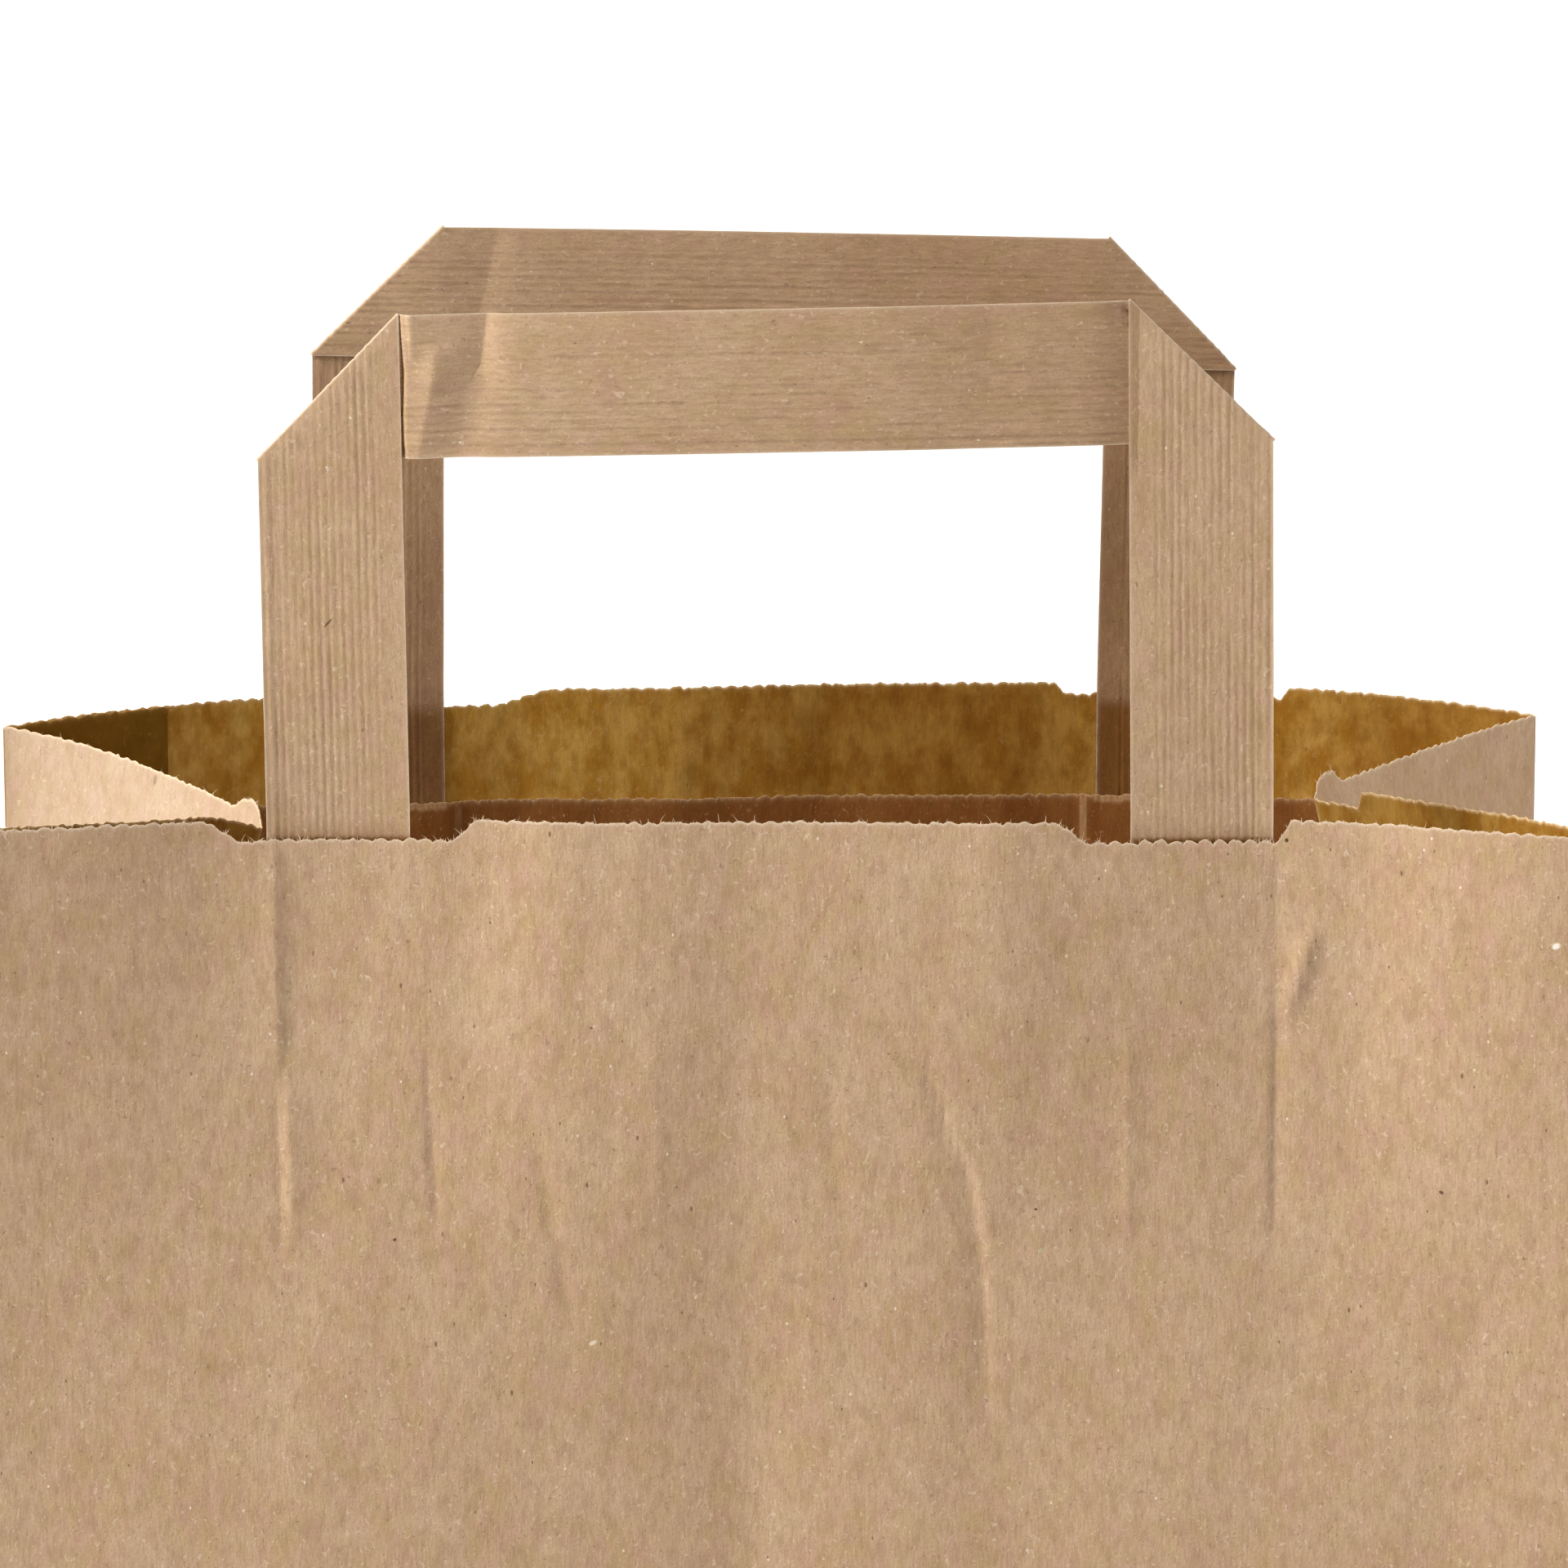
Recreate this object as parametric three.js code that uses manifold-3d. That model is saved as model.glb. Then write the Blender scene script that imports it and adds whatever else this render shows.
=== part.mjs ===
import * as THREE from 'three';
import { mergeVertices } from 'three/addons/utils/BufferGeometryUtils.js';
import Module from 'manifold-3d';

// A kraft paper carrier bag with a block bottom and two flat tape handles.
// One sheet is folded into the walls, the gussets and the bottom. Each handle is one paper tape,
// folded at 45 degrees at both corners, and its legs are glued between a wall and a patch.
// Millimetres, X to the right, Y to the back, Z up, origin in the middle of the underside.

const { lerp, clamp, smoothstep } = THREE.MathUtils;

// The sheet
const bagWidth = 320; // front and back wall
const gussetWidth = 170; // side wall, folded in two by its middle crease
const bagHeight = 270; // paper length from the bottom fold to the mouth
const paper = 0.15; // one ply
const seamWidth = 33; // glued tab that closes the tube, inside the back wall at its left fold
const flapOverlap = 15; // how far each bottom flap passes the middle
const flapInset = 0.3; // the bottom flaps start this far in from the fold

// How the open mouth stands: the left and right folds lean by this much in Y, and the wall between
// them bows by the depth given, flatter in the middle the higher the power
const mouthNarrowing = 4.8; // each corner fold comes in by this much in X
const frontLean = { left: 0, right: -4.5, bow: 16.95, power: 2.9, skew: 0.087 };
const backLean = { left: -44.5, right: -37.5, bow: 25.5, power: 3.55, skew: 0.103 };
const kneeInset = 12; // the gusset crease is pushed in by this much where the bottom folds meet it
// The gusset arm beside the back wall springs back towards that wall, most near the corner fold
const armBow = { left: 10, right: 2, power: 0.7 };

// The saw-cut edge of the mouth
const toothPitch = 2.87;
const toothDepth = 0.8;
const edgeBand = 8; // paper under the teeth that is drawn with the fine columns
// The rumpled tip of each gusset crease: how much higher it stands than flat paper would, and, by
// distance from the crease, how far the edge of the arm lies below the mouth
const tipLift = { left: -1, right: 2.4 };
const frontTip = [[0, 3], [13, 3], [15, 0]];
const backTip = [[0, 3], [5, -2.8], [9, -2.8], [11, 0]];

// The notches that the mouth has where the handles pass: outside and inside the leg they end by
// these margins, and the shoulders slope by these lengths
const frontNotches = {
  left: { depth: 3.8, outer: 5.2, inner: 8.2, outerSlope: 6, innerSlope: 4.2 },
  right: { depth: 3.8, outer: 0.8, inner: 8.2, outerSlope: 2.4, innerSlope: 5.7 },
};
const backNotches = {
  left: { depth: 3, outer: 3, inner: 12, outerSlope: 4, innerSlope: 8.7 },
  right: { depth: 2.2, outer: 10.6, inner: 6.2, outerSlope: 2.2, innerSlope: 2.6 },
};

// The handles
const tapeWidth = 26.6;
const tape = 0.4; // two plies of ribbed kraft, laminated
const plyGap = 0.3; // between the leg and the strip where the tape is folded
const legSpacing = 161; // between the middles of the two legs
const legTuck = 64; // leg below the mouth
const foldSteps = 4;
// rise is from the mouth to the top of the strip
const frontHandle = { rise: 95.1, tilt: 0.0205, lean: -1.2, inward: 2 };
const backHandle = { rise: 93.4, tilt: -0.0245, lean: 1.2, inward: 2 };
const bendStart = 2; // above the mouth the tape leaves the wall's curve between these heights
const bendEnd = 45;

// The patches
const patchWidth = 236;
const patchHeight = 50;
const patchDrop = 24; // top edge below the mouth
const patchPly = 0.15;
const patchStep = 4; // length of the ramp where the patch climbs over a leg

// Glued pieces are drawn this far apart
const seat = 0.3;

// Grid
const wallColumns = 20;
const armColumns = 4;
const upperRows = 5;

const halfWidth = bagWidth / 2;
const armWidth = gussetWidth / 2;
const floorRise = 2 * paper; // the two bottom flaps lie under the floor
const floorTop = floorRise + paper;

// The long walls. inward is the Y direction of the inside.
const front = { inward: 1, base: -armWidth, lean: frontLean, notches: frontNotches };
const back = { inward: -1, base: armWidth, lean: backLean, notches: backNotches };

// How far the wall has moved in Y at the mouth, s from -1 at the left fold to 1 at the right
function mouthShift(wall, s) {
  const { left, right, bow, power, skew } = wall.lean;
  const along = lerp(left, right, (s + 1) / 2);
  return along + bow * (1 - Math.abs(s) ** power + skew * Math.sin(Math.PI * s));
}

// Height of the mouth above the bottom fold: the paper keeps its length as the wall leans
function mouthHeight(wall, s) {
  return Math.sqrt(bagHeight ** 2 - mouthShift(wall, s) ** 2 - (mouthNarrowing * s) ** 2);
}

function wallPoint(wall, s, height) {
  const k = height / bagHeight;
  return new THREE.Vector3(
    s * (halfWidth - mouthNarrowing * k),
    wall.base + mouthShift(wall, s) * k,
    floorRise + mouthHeight(wall, s) * k,
  );
}

// The gusset: a standing triangle at the bottom, and two arms that fold in above its slanting creases
function gussetPoint(side, q, height) {
  const wall = q < 0 ? front : back;
  const a = 1 - Math.abs(q); // 0 at the corner fold, 1 at the middle crease
  const corner = wallPoint(wall, side, bagHeight);
  const other = wallPoint(q < 0 ? back : front, side, bagHeight);
  const reach = Math.sqrt(armWidth ** 2 - (corner.distanceTo(other) / 2) ** 2);
  const knee = new THREE.Vector3(
    side * (halfWidth - kneeInset), 0, floorRise + Math.sqrt(armWidth ** 2 - kneeInset ** 2));
  const tip = corner.clone().add(other).multiplyScalar(0.5);
  tip.x -= side * reach;
  const crease = bagHeight - armWidth;
  tip.z = knee.z + Math.sqrt(crease ** 2 - (tip.x - knee.x) ** 2 - (tip.y - knee.y) ** 2);
  tip.z += side < 0 ? tipLift.left : tipLift.right;
  const foot = new THREE.Vector3(side * halfWidth, q * armWidth, floorRise);
  const slant = new THREE.Vector3(side * halfWidth, wall.base, floorRise).lerp(knee, a);
  const kneeHeight = a * armWidth;
  if (height <= kneeHeight) return foot.lerp(slant, kneeHeight > 0 ? height / kneeHeight : 0);
  const top = corner.clone().lerp(tip, a);
  if (q > 0) {
    const across = new THREE.Vector3(side * (tip.y - corner.y), side * (corner.x - tip.x), 0).normalize();
    const bow = side < 0 ? armBow.left : armBow.right;
    top.addScaledVector(across, bow * Math.sin(Math.PI * a ** armBow.power));
  }
  return slant.lerp(top, (height - kneeHeight) / (bagHeight - kneeHeight));
}

// Depth of the notch in a wall's edge at x
function notchDrop(wall, x) {
  const { depth, outer, inner, outerSlope, innerSlope } = wall.notches[x < 0 ? 'left' : 'right'];
  const fromLeg = Math.abs(x) - legSpacing / 2;
  const out = (fromLeg - tapeWidth / 2 - outer) / outerSlope;
  const into = (-fromLeg - tapeWidth / 2 - inner) / innerSlope;
  return depth * (1 - clamp(Math.max(out, into), 0, 1));
}

// The same for an arm of the gusset, q as in gussetPoint
function tipDrop(q) {
  const steps = q < 0 ? frontTip : backTip;
  const fromCrease = Math.abs(q) * armWidth;
  const next = steps.findIndex(([distance]) => distance > fromCrease);
  if (next < 0) return 0;
  const [[start, before], [end, after]] = steps.slice(next - 1, next + 1);
  return lerp(before, after, (fromCrease - start) / (end - start));
}

// The six flat panels of the tube, counter-clockwise from above: at(t, height) gives a point,
// drop(t) what is cut off the edge, plies(t) the number of plies
const spread = (count) => Array.from({ length: count + 1 }, (_, i) => i / count);
const seamStart = 1 - seamWidth / bagWidth;
const seamStep = 0.2 / bagWidth;
const backColumns = spread(wallColumns).filter((t) => Math.abs(t - seamStart) > 0.02);
const panels = [
  {
    width: bagWidth,
    columns: spread(wallColumns),
    at: (t, h) => wallPoint(front, 2 * t - 1, h),
    drop: (t) => notchDrop(front, wallPoint(front, 2 * t - 1, bagHeight).x),
    plies: () => 1,
  },
  ...[-1, 0].map((start) => arm(1, (t) => start + t)),
  {
    width: bagWidth,
    columns: [...backColumns, seamStart - seamStep, seamStart].sort((a, b) => a - b),
    at: (t, h) => wallPoint(back, 1 - 2 * t, h),
    drop: (t) => notchDrop(back, wallPoint(back, 1 - 2 * t, bagHeight).x),
    plies: (t) => (t < seamStart - seamStep / 2 ? 1 : 2),
  },
  ...[1, 0].map((start) => arm(-1, (t) => start - t)),
];

function arm(side, place) {
  return {
    width: armWidth,
    columns: spread(armColumns),
    at: (t, h) => gussetPoint(side, place(t), h),
    drop: (t) => tipDrop(place(t)),
    plies: () => 1,
  };
}

// Inward direction at a point of the tube, long enough that each face beside it moves in by 1
function inwardAt(index, t, height) {
  const step = 0.02;
  const reach = 0.5;
  const here = panels[index].at(t, height);
  const normals = [];
  for (const turn of [-1, 1]) {
    let panel = panels[index];
    let u = t + turn * step;
    if (u < 0 || u > 1) {
      panel = panels[(index + turn + panels.length) % panels.length];
      u = turn > 0 ? step : 1 - step;
    }
    for (const rise of [-reach, reach]) {
      if (height + rise < 0) continue;
      const across = panel.at(u, height + rise).sub(here);
      const along = panels[index].at(t, height + rise).sub(here);
      normals.push(along.cross(across).multiplyScalar(turn * Math.sign(rise)).normalize());
    }
  }
  const mean = normals.reduce((sum, n) => sum.add(n), new THREE.Vector3()).normalize();
  const share = normals.reduce((sum, n) => sum + n.dot(mean), 0) / normals.length;
  return mean.divideScalar(share);
}

// The closed shell of the bag: outer skin, inner skin, toothed rim and floor
function shellGeometry() {
  const positions = [];
  const triangles = [];
  const add = (v) => positions.push(v.x, v.y, v.z) / 3 - 1;
  const quad = (a, b, c, d) => triangles.push(a, b, c, a, c, d);
  const heights = [
    ...spread(armColumns).map((k) => k * armWidth),
    ...spread(upperRows).slice(1).map((k) => lerp(armWidth, bagHeight - edgeBand, k)),
  ];

  const columns = panels.flatMap((panel, index) =>
    panel.columns.slice(0, -1).map((t) => ({ index, t })));
  const pair = ({ index, t }, height) => {
    const point = panels[index].at(t, height);
    const depth = paper * Math.max(panels[index].plies(t), t === 0 ? previous(index).plies(1) : 1);
    const inner = panels[index].at(t, Math.max(height, paper));
    inner.addScaledVector(inwardAt(index, t, Math.max(height, paper)), depth);
    if (height === 0) inner.z = floorTop;
    return { outer: add(point), inner: add(inner) };
  };
  const rows = heights.map((height) => columns.map((column) => pair(column, height)));

  // Skins up to the band under the teeth. In each arm the cells are split along the slanting crease.
  const count = columns.length;
  for (let j = 0; j + 1 < rows.length; j++) {
    for (let i = 0; i < count; i++) {
      const n = (i + 1) % count;
      const rising = [1, 4].includes(columns[i].index);
      for (const skin of ['outer', 'inner']) {
        const [a, b, c, d] = [rows[j][i], rows[j][n], rows[j + 1][n], rows[j + 1][i]].map((p) => p[skin]);
        const corners = rising ? [a, b, c, d] : [b, c, d, a];
        const [first, second, third, fourth] = corners;
        quad(...(skin === 'outer' ? corners : [first, fourth, third, second]));
      }
    }
  }

  // The toothed edge
  const rim = panels.flatMap((panel, index) => {
    const samples = 2 * Math.round(panel.width / toothPitch);
    return spread(samples).slice(0, -1).map((t, k) => ({
      index, t, height: bagHeight - panel.drop(t) - (k % 2) * toothDepth,
    }));
  });
  const edge = rim.map((point) => pair(point, point.height));
  const top = rows[rows.length - 1];
  for (const skin of ['outer', 'inner']) {
    const face = (a, b, c) => triangles.push(...(skin === 'outer' ? [a, b, c] : [c, b, a]));
    let i = 0;
    let k = 0;
    const after = (list, n) => (n < list.length ? list[n].index + list[n].t : panels.length);
    while (i < count || k < rim.length) {
      const low = top[i % count][skin];
      const high = edge[k % rim.length][skin];
      if (k < rim.length && (i >= count || after(rim, k + 1) <= after(columns, i + 1))) {
        face(low, edge[(k + 1) % rim.length][skin], high);
        k++;
      } else {
        face(low, top[(i + 1) % count][skin], high);
        i++;
      }
    }
  }
  edge.forEach((point, k) => {
    const next = edge[(k + 1) % rim.length];
    quad(point.outer, next.outer, next.inner, point.inner);
  });

  // The floor, as two fans
  const below = add(new THREE.Vector3(0, 0, floorRise));
  const above = add(new THREE.Vector3(0, 0, floorTop));
  rows[0].forEach((point, i) => {
    const next = rows[0][(i + 1) % count];
    triangles.push(below, next.outer, point.outer, above, point.inner, next.inner);
  });
  return indexed(positions, triangles);
}

function previous(index) {
  return panels[(index + panels.length - 1) % panels.length];
}

function indexed(positions, triangles) {
  const geometry = new THREE.BufferGeometry();
  geometry.setAttribute('position', new THREE.Float32BufferAttribute(positions, 3));
  geometry.setIndex(triangles);
  return geometry;
}

// One bottom flap, cut at 45 degrees at both ends, side -1 for the front flap and 1 for the rear one
function flapGeometry(side, low) {
  const bite = 0.05; // sunk into the floor, so that the two make one solid
  const edge = armWidth - flapInset;
  const end = halfWidth - flapInset;
  const run = edge + flapOverlap;
  const shape = new THREE.Shape([
    new THREE.Vector2(-end, side * edge),
    new THREE.Vector2(end, side * edge),
    new THREE.Vector2(end - run, -side * flapOverlap),
    new THREE.Vector2(run - end, -side * flapOverlap),
  ]);
  const flap = new THREE.ExtrudeGeometry(shape, { depth: floorRise + bite - low, bevelEnabled: false });
  return flap.translate(0, 0, low);
}

// Joins closed geometries into one
const wasm = await Module();
wasm.setup();
function join(...geometries) {
  const solids = geometries.map((geometry) => {
    const bare = new THREE.BufferGeometry();
    bare.setAttribute('position', geometry.getAttribute('position'));
    bare.setIndex(geometry.getIndex());
    const merged = mergeVertices(bare, 1e-4);
    return new wasm.Manifold(new wasm.Mesh({
      numProp: 3,
      vertProperties: merged.getAttribute('position').array,
      triVerts: new Uint32Array(merged.getIndex().array),
    }));
  });
  const whole = solids.reduce((sum, solid) => sum.add(solid)).getMesh();
  return indexed(whole.vertProperties, Array.from(whole.triVerts));
}

// Outer face of a wall at x and z, and the same moved in by depth across the wall
function wallFace(wall, x, z, depth) {
  let s = x / halfWidth;
  let k = 0;
  for (let i = 0; i < 4; i++) {
    k = (z - floorRise) / mouthHeight(wall, s);
    s = x / (halfWidth - mouthNarrowing * k);
  }
  return wall.base + mouthShift(wall, s) * k + wall.inward * depth;
}

function insideWall(wall, x, z, depth) {
  const step = 0.5;
  const outer = wallFace(wall, x, z, 0);
  const slopeX = (wallFace(wall, x + step, z, 0) - outer) / step;
  const slopeZ = (wallFace(wall, x, z + step, 0) - outer) / step;
  return wallFace(wall, x, z, depth * Math.hypot(1, slopeX, slopeZ));
}

// A closed sheet of the given thickness about a middle surface: point(u, v) on a grid of rows
function sheetGeometry(point, rows, columns, thickness) {
  const positions = [];
  const triangles = [];
  const step = 1e-3;
  const inside = (list, value) => clamp(value, list[0], list[list.length - 1]);
  rows.forEach((u) => columns.forEach((v) => {
    const along = point(inside(rows, u + step), v).sub(point(inside(rows, u - step), v));
    const across = point(u, inside(columns, v + step)).sub(point(u, inside(columns, v - step)));
    const normal = along.cross(across).normalize().multiplyScalar(thickness / 2);
    const middle = point(u, v);
    for (const face of [1, -1]) {
      const p = middle.clone().addScaledVector(normal, face);
      positions.push(p.x, p.y, p.z);
    }
  }));
  const at = (i, j, face) => 2 * (i * columns.length + j) + face;
  const quad = (a, b, c, d) => triangles.push(a, b, c, a, c, d);
  const lastRow = rows.length - 1;
  const lastColumn = columns.length - 1;
  for (let i = 0; i < lastRow; i++) {
    for (let j = 0; j < lastColumn; j++) {
      quad(at(i, j, 0), at(i + 1, j, 0), at(i + 1, j + 1, 0), at(i, j + 1, 0));
      quad(at(i, j, 1), at(i, j + 1, 1), at(i + 1, j + 1, 1), at(i + 1, j, 1));
    }
    quad(at(i, 0, 0), at(i, 0, 1), at(i + 1, 0, 1), at(i + 1, 0, 0));
    quad(at(i, lastColumn, 0), at(i + 1, lastColumn, 0), at(i + 1, lastColumn, 1), at(i, lastColumn, 1));
  }
  for (let j = 0; j < lastColumn; j++) {
    quad(at(0, j, 0), at(0, j + 1, 0), at(0, j + 1, 1), at(0, j, 1));
    quad(at(lastRow, j, 0), at(lastRow, j, 1), at(lastRow, j + 1, 1), at(lastRow, j + 1, 0));
  }
  return indexed(positions, triangles);
}

// The tape along its own length, unfolded in front of the wall: stage 0 to 1 is the left leg,
// 1 to 2 its fold, 2 to 3 the strip, 3 to 4 the right fold and 4 to 5 the right leg.
// b runs across the tape, from the outer edge of the legs to the inner one.
const mouth = floorRise + bagHeight;
const foldRadius = (tape + plyGap) / 2;
function tapeLine(stage, b, rise) {
  const right = stage > 2.5;
  const from = right ? 5 - stage : stage;
  const foldX = b - legSpacing / 2;
  const foldZ = mouth + rise - tapeWidth / 2 + b;
  let x = foldX;
  let z = foldZ;
  let layer = 0;
  if (from <= 1) {
    z = lerp(mouth - legTuck, foldZ, from);
  } else if (from < 2) {
    const turn = Math.PI * (from - 1);
    const out = foldRadius * Math.sin(turn) * Math.SQRT1_2;
    x -= out;
    z += out;
    layer = foldRadius * (1 - Math.cos(turn));
  } else {
    x = foldX * (1 - 2 * (from - 2));
    layer = 2 * foldRadius;
  }
  return { x: right ? -x : x, z, layer };
}

function handleGeometry(wall, { rise, tilt, lean, inward }) {
  const legs = [-legSpacing / 2, legSpacing / 2];
  const depth = paper + seat + tape / 2;
  const ends = legs.map((x) => insideWall(wall, x, mouth, depth));
  const point = (stage, b) => {
    const { x, z, layer } = tapeLine(stage, b, rise);
    const share = Math.max(0, z - mouth) / rise;
    const px = x + lean * share;
    const pz = z + tilt * x * smoothstep(share, 0, 0.7);
    const onWall = insideWall(wall, px, Math.min(pz, mouth), depth);
    const inPlane = lerp(ends[0], ends[1], (px - legs[0]) / legSpacing) + wall.inward * inward * share;
    const free = smoothstep(z - mouth, bendStart, bendEnd);
    return new THREE.Vector3(px, lerp(onWall, inPlane, free) + wall.inward * layer, pz);
  };
  const part = (from, steps) => spread(steps).slice(1).map((k) => from + k);
  const rows = [0, ...part(0, 9), ...part(1, foldSteps), ...part(2, 8), ...part(3, foldSteps), ...part(4, 9)];
  const columns = [-1, -0.5, 0, 0.5, 1].map((k) => (k * tapeWidth) / 2);
  return sheetGeometry(point, rows, columns, tape);
}

// A patch lies on the wall and climbs over both legs
function patchGeometry(wall) {
  const low = paper + seat + patchPly / 2;
  const high = low + tape + seat;
  const legEdge = (tapeWidth + seat) / 2;
  const ramps = [-legEdge - patchStep, -legEdge, 0, legEdge, legEdge + patchStep];
  const columns = [
    ...[-1, 1].flatMap((leg) => ramps.map((k) => (leg * legSpacing) / 2 + k)),
    ...spread(6).map((k) => lerp(-patchWidth / 2, patchWidth / 2, k)).filter((x) =>
      Math.abs(Math.abs(x) - legSpacing / 2) > legEdge + patchStep + 1),
  ].sort((a, b) => a - b);
  const point = (u, v) => {
    const fromLeg = Math.abs(Math.abs(v) - legSpacing / 2);
    const climb = 1 - clamp((fromLeg - legEdge) / patchStep, 0, 1);
    const z = mouth - patchDrop - u;
    return new THREE.Vector3(v, insideWall(wall, v, z, lerp(low, high, climb)), z);
  };
  const rows = spread(3).map((k) => k * patchHeight);
  return sheetGeometry(point, rows, columns, patchPly);
}

// Colours
const kraft = { color: 0xbf9e7d, roughness: 0.86, metalness: 0 };
const ribbedKraft = { color: 0xb9977a, roughness: 0.82, metalness: 0 };
const innerKraft = { color: 0xa37c52, roughness: 0.88, metalness: 0 };

const bag = new THREE.Group();
bag.name = 'paper_carrier_bag';

function piece(name, geometry, finish) {
  const mesh = new THREE.Mesh(geometry, new THREE.MeshStandardMaterial(finish));
  mesh.name = name;
  bag.add(mesh);
}

piece('bag_body', join(shellGeometry(), flapGeometry(1, paper), flapGeometry(-1, 0)), kraft);
piece('front_handle', handleGeometry(front, frontHandle), ribbedKraft);
piece('back_handle', handleGeometry(back, backHandle), ribbedKraft);
piece('front_patch', patchGeometry(front), innerKraft);
piece('back_patch', patchGeometry(back), innerKraft);

export default bag;
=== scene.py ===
import math

import bpy
import numpy as np
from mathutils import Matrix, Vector


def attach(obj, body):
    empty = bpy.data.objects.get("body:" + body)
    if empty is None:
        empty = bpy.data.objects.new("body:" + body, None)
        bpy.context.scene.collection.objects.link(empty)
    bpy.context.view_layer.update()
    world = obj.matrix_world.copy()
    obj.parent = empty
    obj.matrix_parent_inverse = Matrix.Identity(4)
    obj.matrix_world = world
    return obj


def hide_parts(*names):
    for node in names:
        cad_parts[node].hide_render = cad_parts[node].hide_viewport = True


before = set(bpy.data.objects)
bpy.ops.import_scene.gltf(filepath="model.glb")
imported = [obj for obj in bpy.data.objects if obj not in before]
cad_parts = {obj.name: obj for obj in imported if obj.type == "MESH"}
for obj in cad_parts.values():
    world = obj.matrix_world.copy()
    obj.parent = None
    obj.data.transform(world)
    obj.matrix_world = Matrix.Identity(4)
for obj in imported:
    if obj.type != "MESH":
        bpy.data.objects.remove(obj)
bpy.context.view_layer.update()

# A kraft paper carrier bag with folded gussets, a saw-cut mouth and two folded tape handles.
# Lengths are in millimetres of paper until a mesh is made. X is right, Y is back, Z is up.

mm = 0.001
patternUnit = 100.0  # mm in one unit of the paper's pattern, which the UV map holds

# The sheet that is folded into the bag
sheet = dict(
    width=320.0,  # front and back wall
    gusset=170.0,  # side wall, folded in two
    height=270.0,  # from the bottom fold to the mouth
    ply=0.15,
    narrowing=4.8,  # each corner fold comes in by this much at the mouth
    knee=12.0,  # how far the gusset crease is pushed in at its foot
)
half = sheet["width"] / 2
arm = sheet["gusset"] / 2
floorRise = 2 * sheet["ply"]
mouth = floorRise + sheet["height"]

# The ribbed tape that is folded into a handle
tape = dict(
    width=26.6,
    thickness=0.4,
    spacing=161.0,  # between the middles of the two legs
    gap=0.3,  # between the layers of a fold
    tuck=64.0,  # how far the legs reach into the bag
    seat=0.3,  # glue between tape and wall
    bendStart=2.0,  # above the mouth: here a leg leaves the wall
    bendEnd=45.0,  # and here it stands free
    leanIn=2.0,  # of the whole handle, at its top
    ribPitch=1.49,
    ribDepth=0.095,
    margin=(8.6, 9.8),  # from here on the inner side has no ribs
    plyEdge=2.3,  # from the outer edge to the step of the upper ply
    plyStep=0.10,
)

# The long walls: inward is the Y direction of the inside. The folds lean by left and right, and the
# wall between them bows, flatter in the middle the higher the power.
frontWall = dict(inward=1, base=-arm, left=0.0, right=-4.5, bow=16.95, power=2.9, skew=0.087, seed=11)
backWall = dict(inward=-1, base=arm, left=-44.5, right=-37.5, bow=25.5, power=3.55, skew=0.103, seed=47)

# Notches in the mouth where the handles pass: depth, margins past the leg and slopes of the ends
frontWall["notches"] = dict(
    left=dict(depth=3.8, outer=5.2, inner=8.2, outerSlope=6.0, innerSlope=4.2),
    right=dict(depth=3.8, outer=0.8, inner=8.2, outerSlope=2.4, innerSlope=5.7),
)
backWall["notches"] = dict(
    left=dict(depth=3.0, outer=3.0, inner=12.0, outerSlope=4.0, innerSlope=8.7),
    right=dict(depth=2.2, outer=10.6, inner=6.2, outerSlope=2.2, innerSlope=2.6),
)

# Creases pressed into a wall, listed downwards: from x, z to x, z, how far the ridge stands out, and
# how wide its left and its right flank are
frontWall["creases"] = [
    (-92.4, 263, -92.0, 219, 0.80, 4.4, 1.1),
    (-90.4, 222, -89.6, 195, 0.75, 1.2, 3.5),
    (-92.4, 224, -91.6, 190, -0.22, 1.0, 0.8),
    (-64.3, 224, -63.6, 208, -0.35, 0.9, 1.6),
    (-63.6, 210, -62.5, 194, -0.45, 1.0, 1.6),
    (-46.5, 217, -42.0, 197, -0.25, 0.8, 1.6),
    (-42.0, 199, -37.9, 177, -0.50, 1.6, 2.2),
    (29.6, 221, 33.2, 211, -0.75, 1.6, 0.8),
    (33.0, 213, 37.8, 199, -0.65, 2.2, 0.8),
    (37.6, 202, 39.8, 184, -0.62, 3.0, 1.0),
    (39.8, 187, 41.2, 160, -0.55, 3.6, 1.2),
    (66.9, 230, 67.2, 192, 0.30, 1.7, 2.0),
    (94.4, 263, 94.7, 233, -0.25, 1.4, 3.0),
    (94.7, 234, 94.5, 193, -0.55, 0.9, 3.0),
    (101.6, 247, 96.6, 235, 1.25, 2.2, 1.1),
    (-21.5, 226, -20.5, 196, 0.20, 2.2, 1.6),
    (10.5, 222, 15.0, 178, -0.24, 3.0, 2.4),
]
backWall["creases"] = [
    (-52, 262, -48, 150, 0.60, 7.0, 7.0),
    (-20, 262, -22, 140, -0.50, 9.0, 7.0),
    (12, 262, 16, 150, 0.55, 8.0, 8.0),
    (48, 262, 44, 150, -0.50, 7.0, 7.0),
    (88, 240, 86, 196, -0.40, 1.2, 3.0),
    (110, 262, 104, 150, 0.50, 6.0, 6.0),
]

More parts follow.
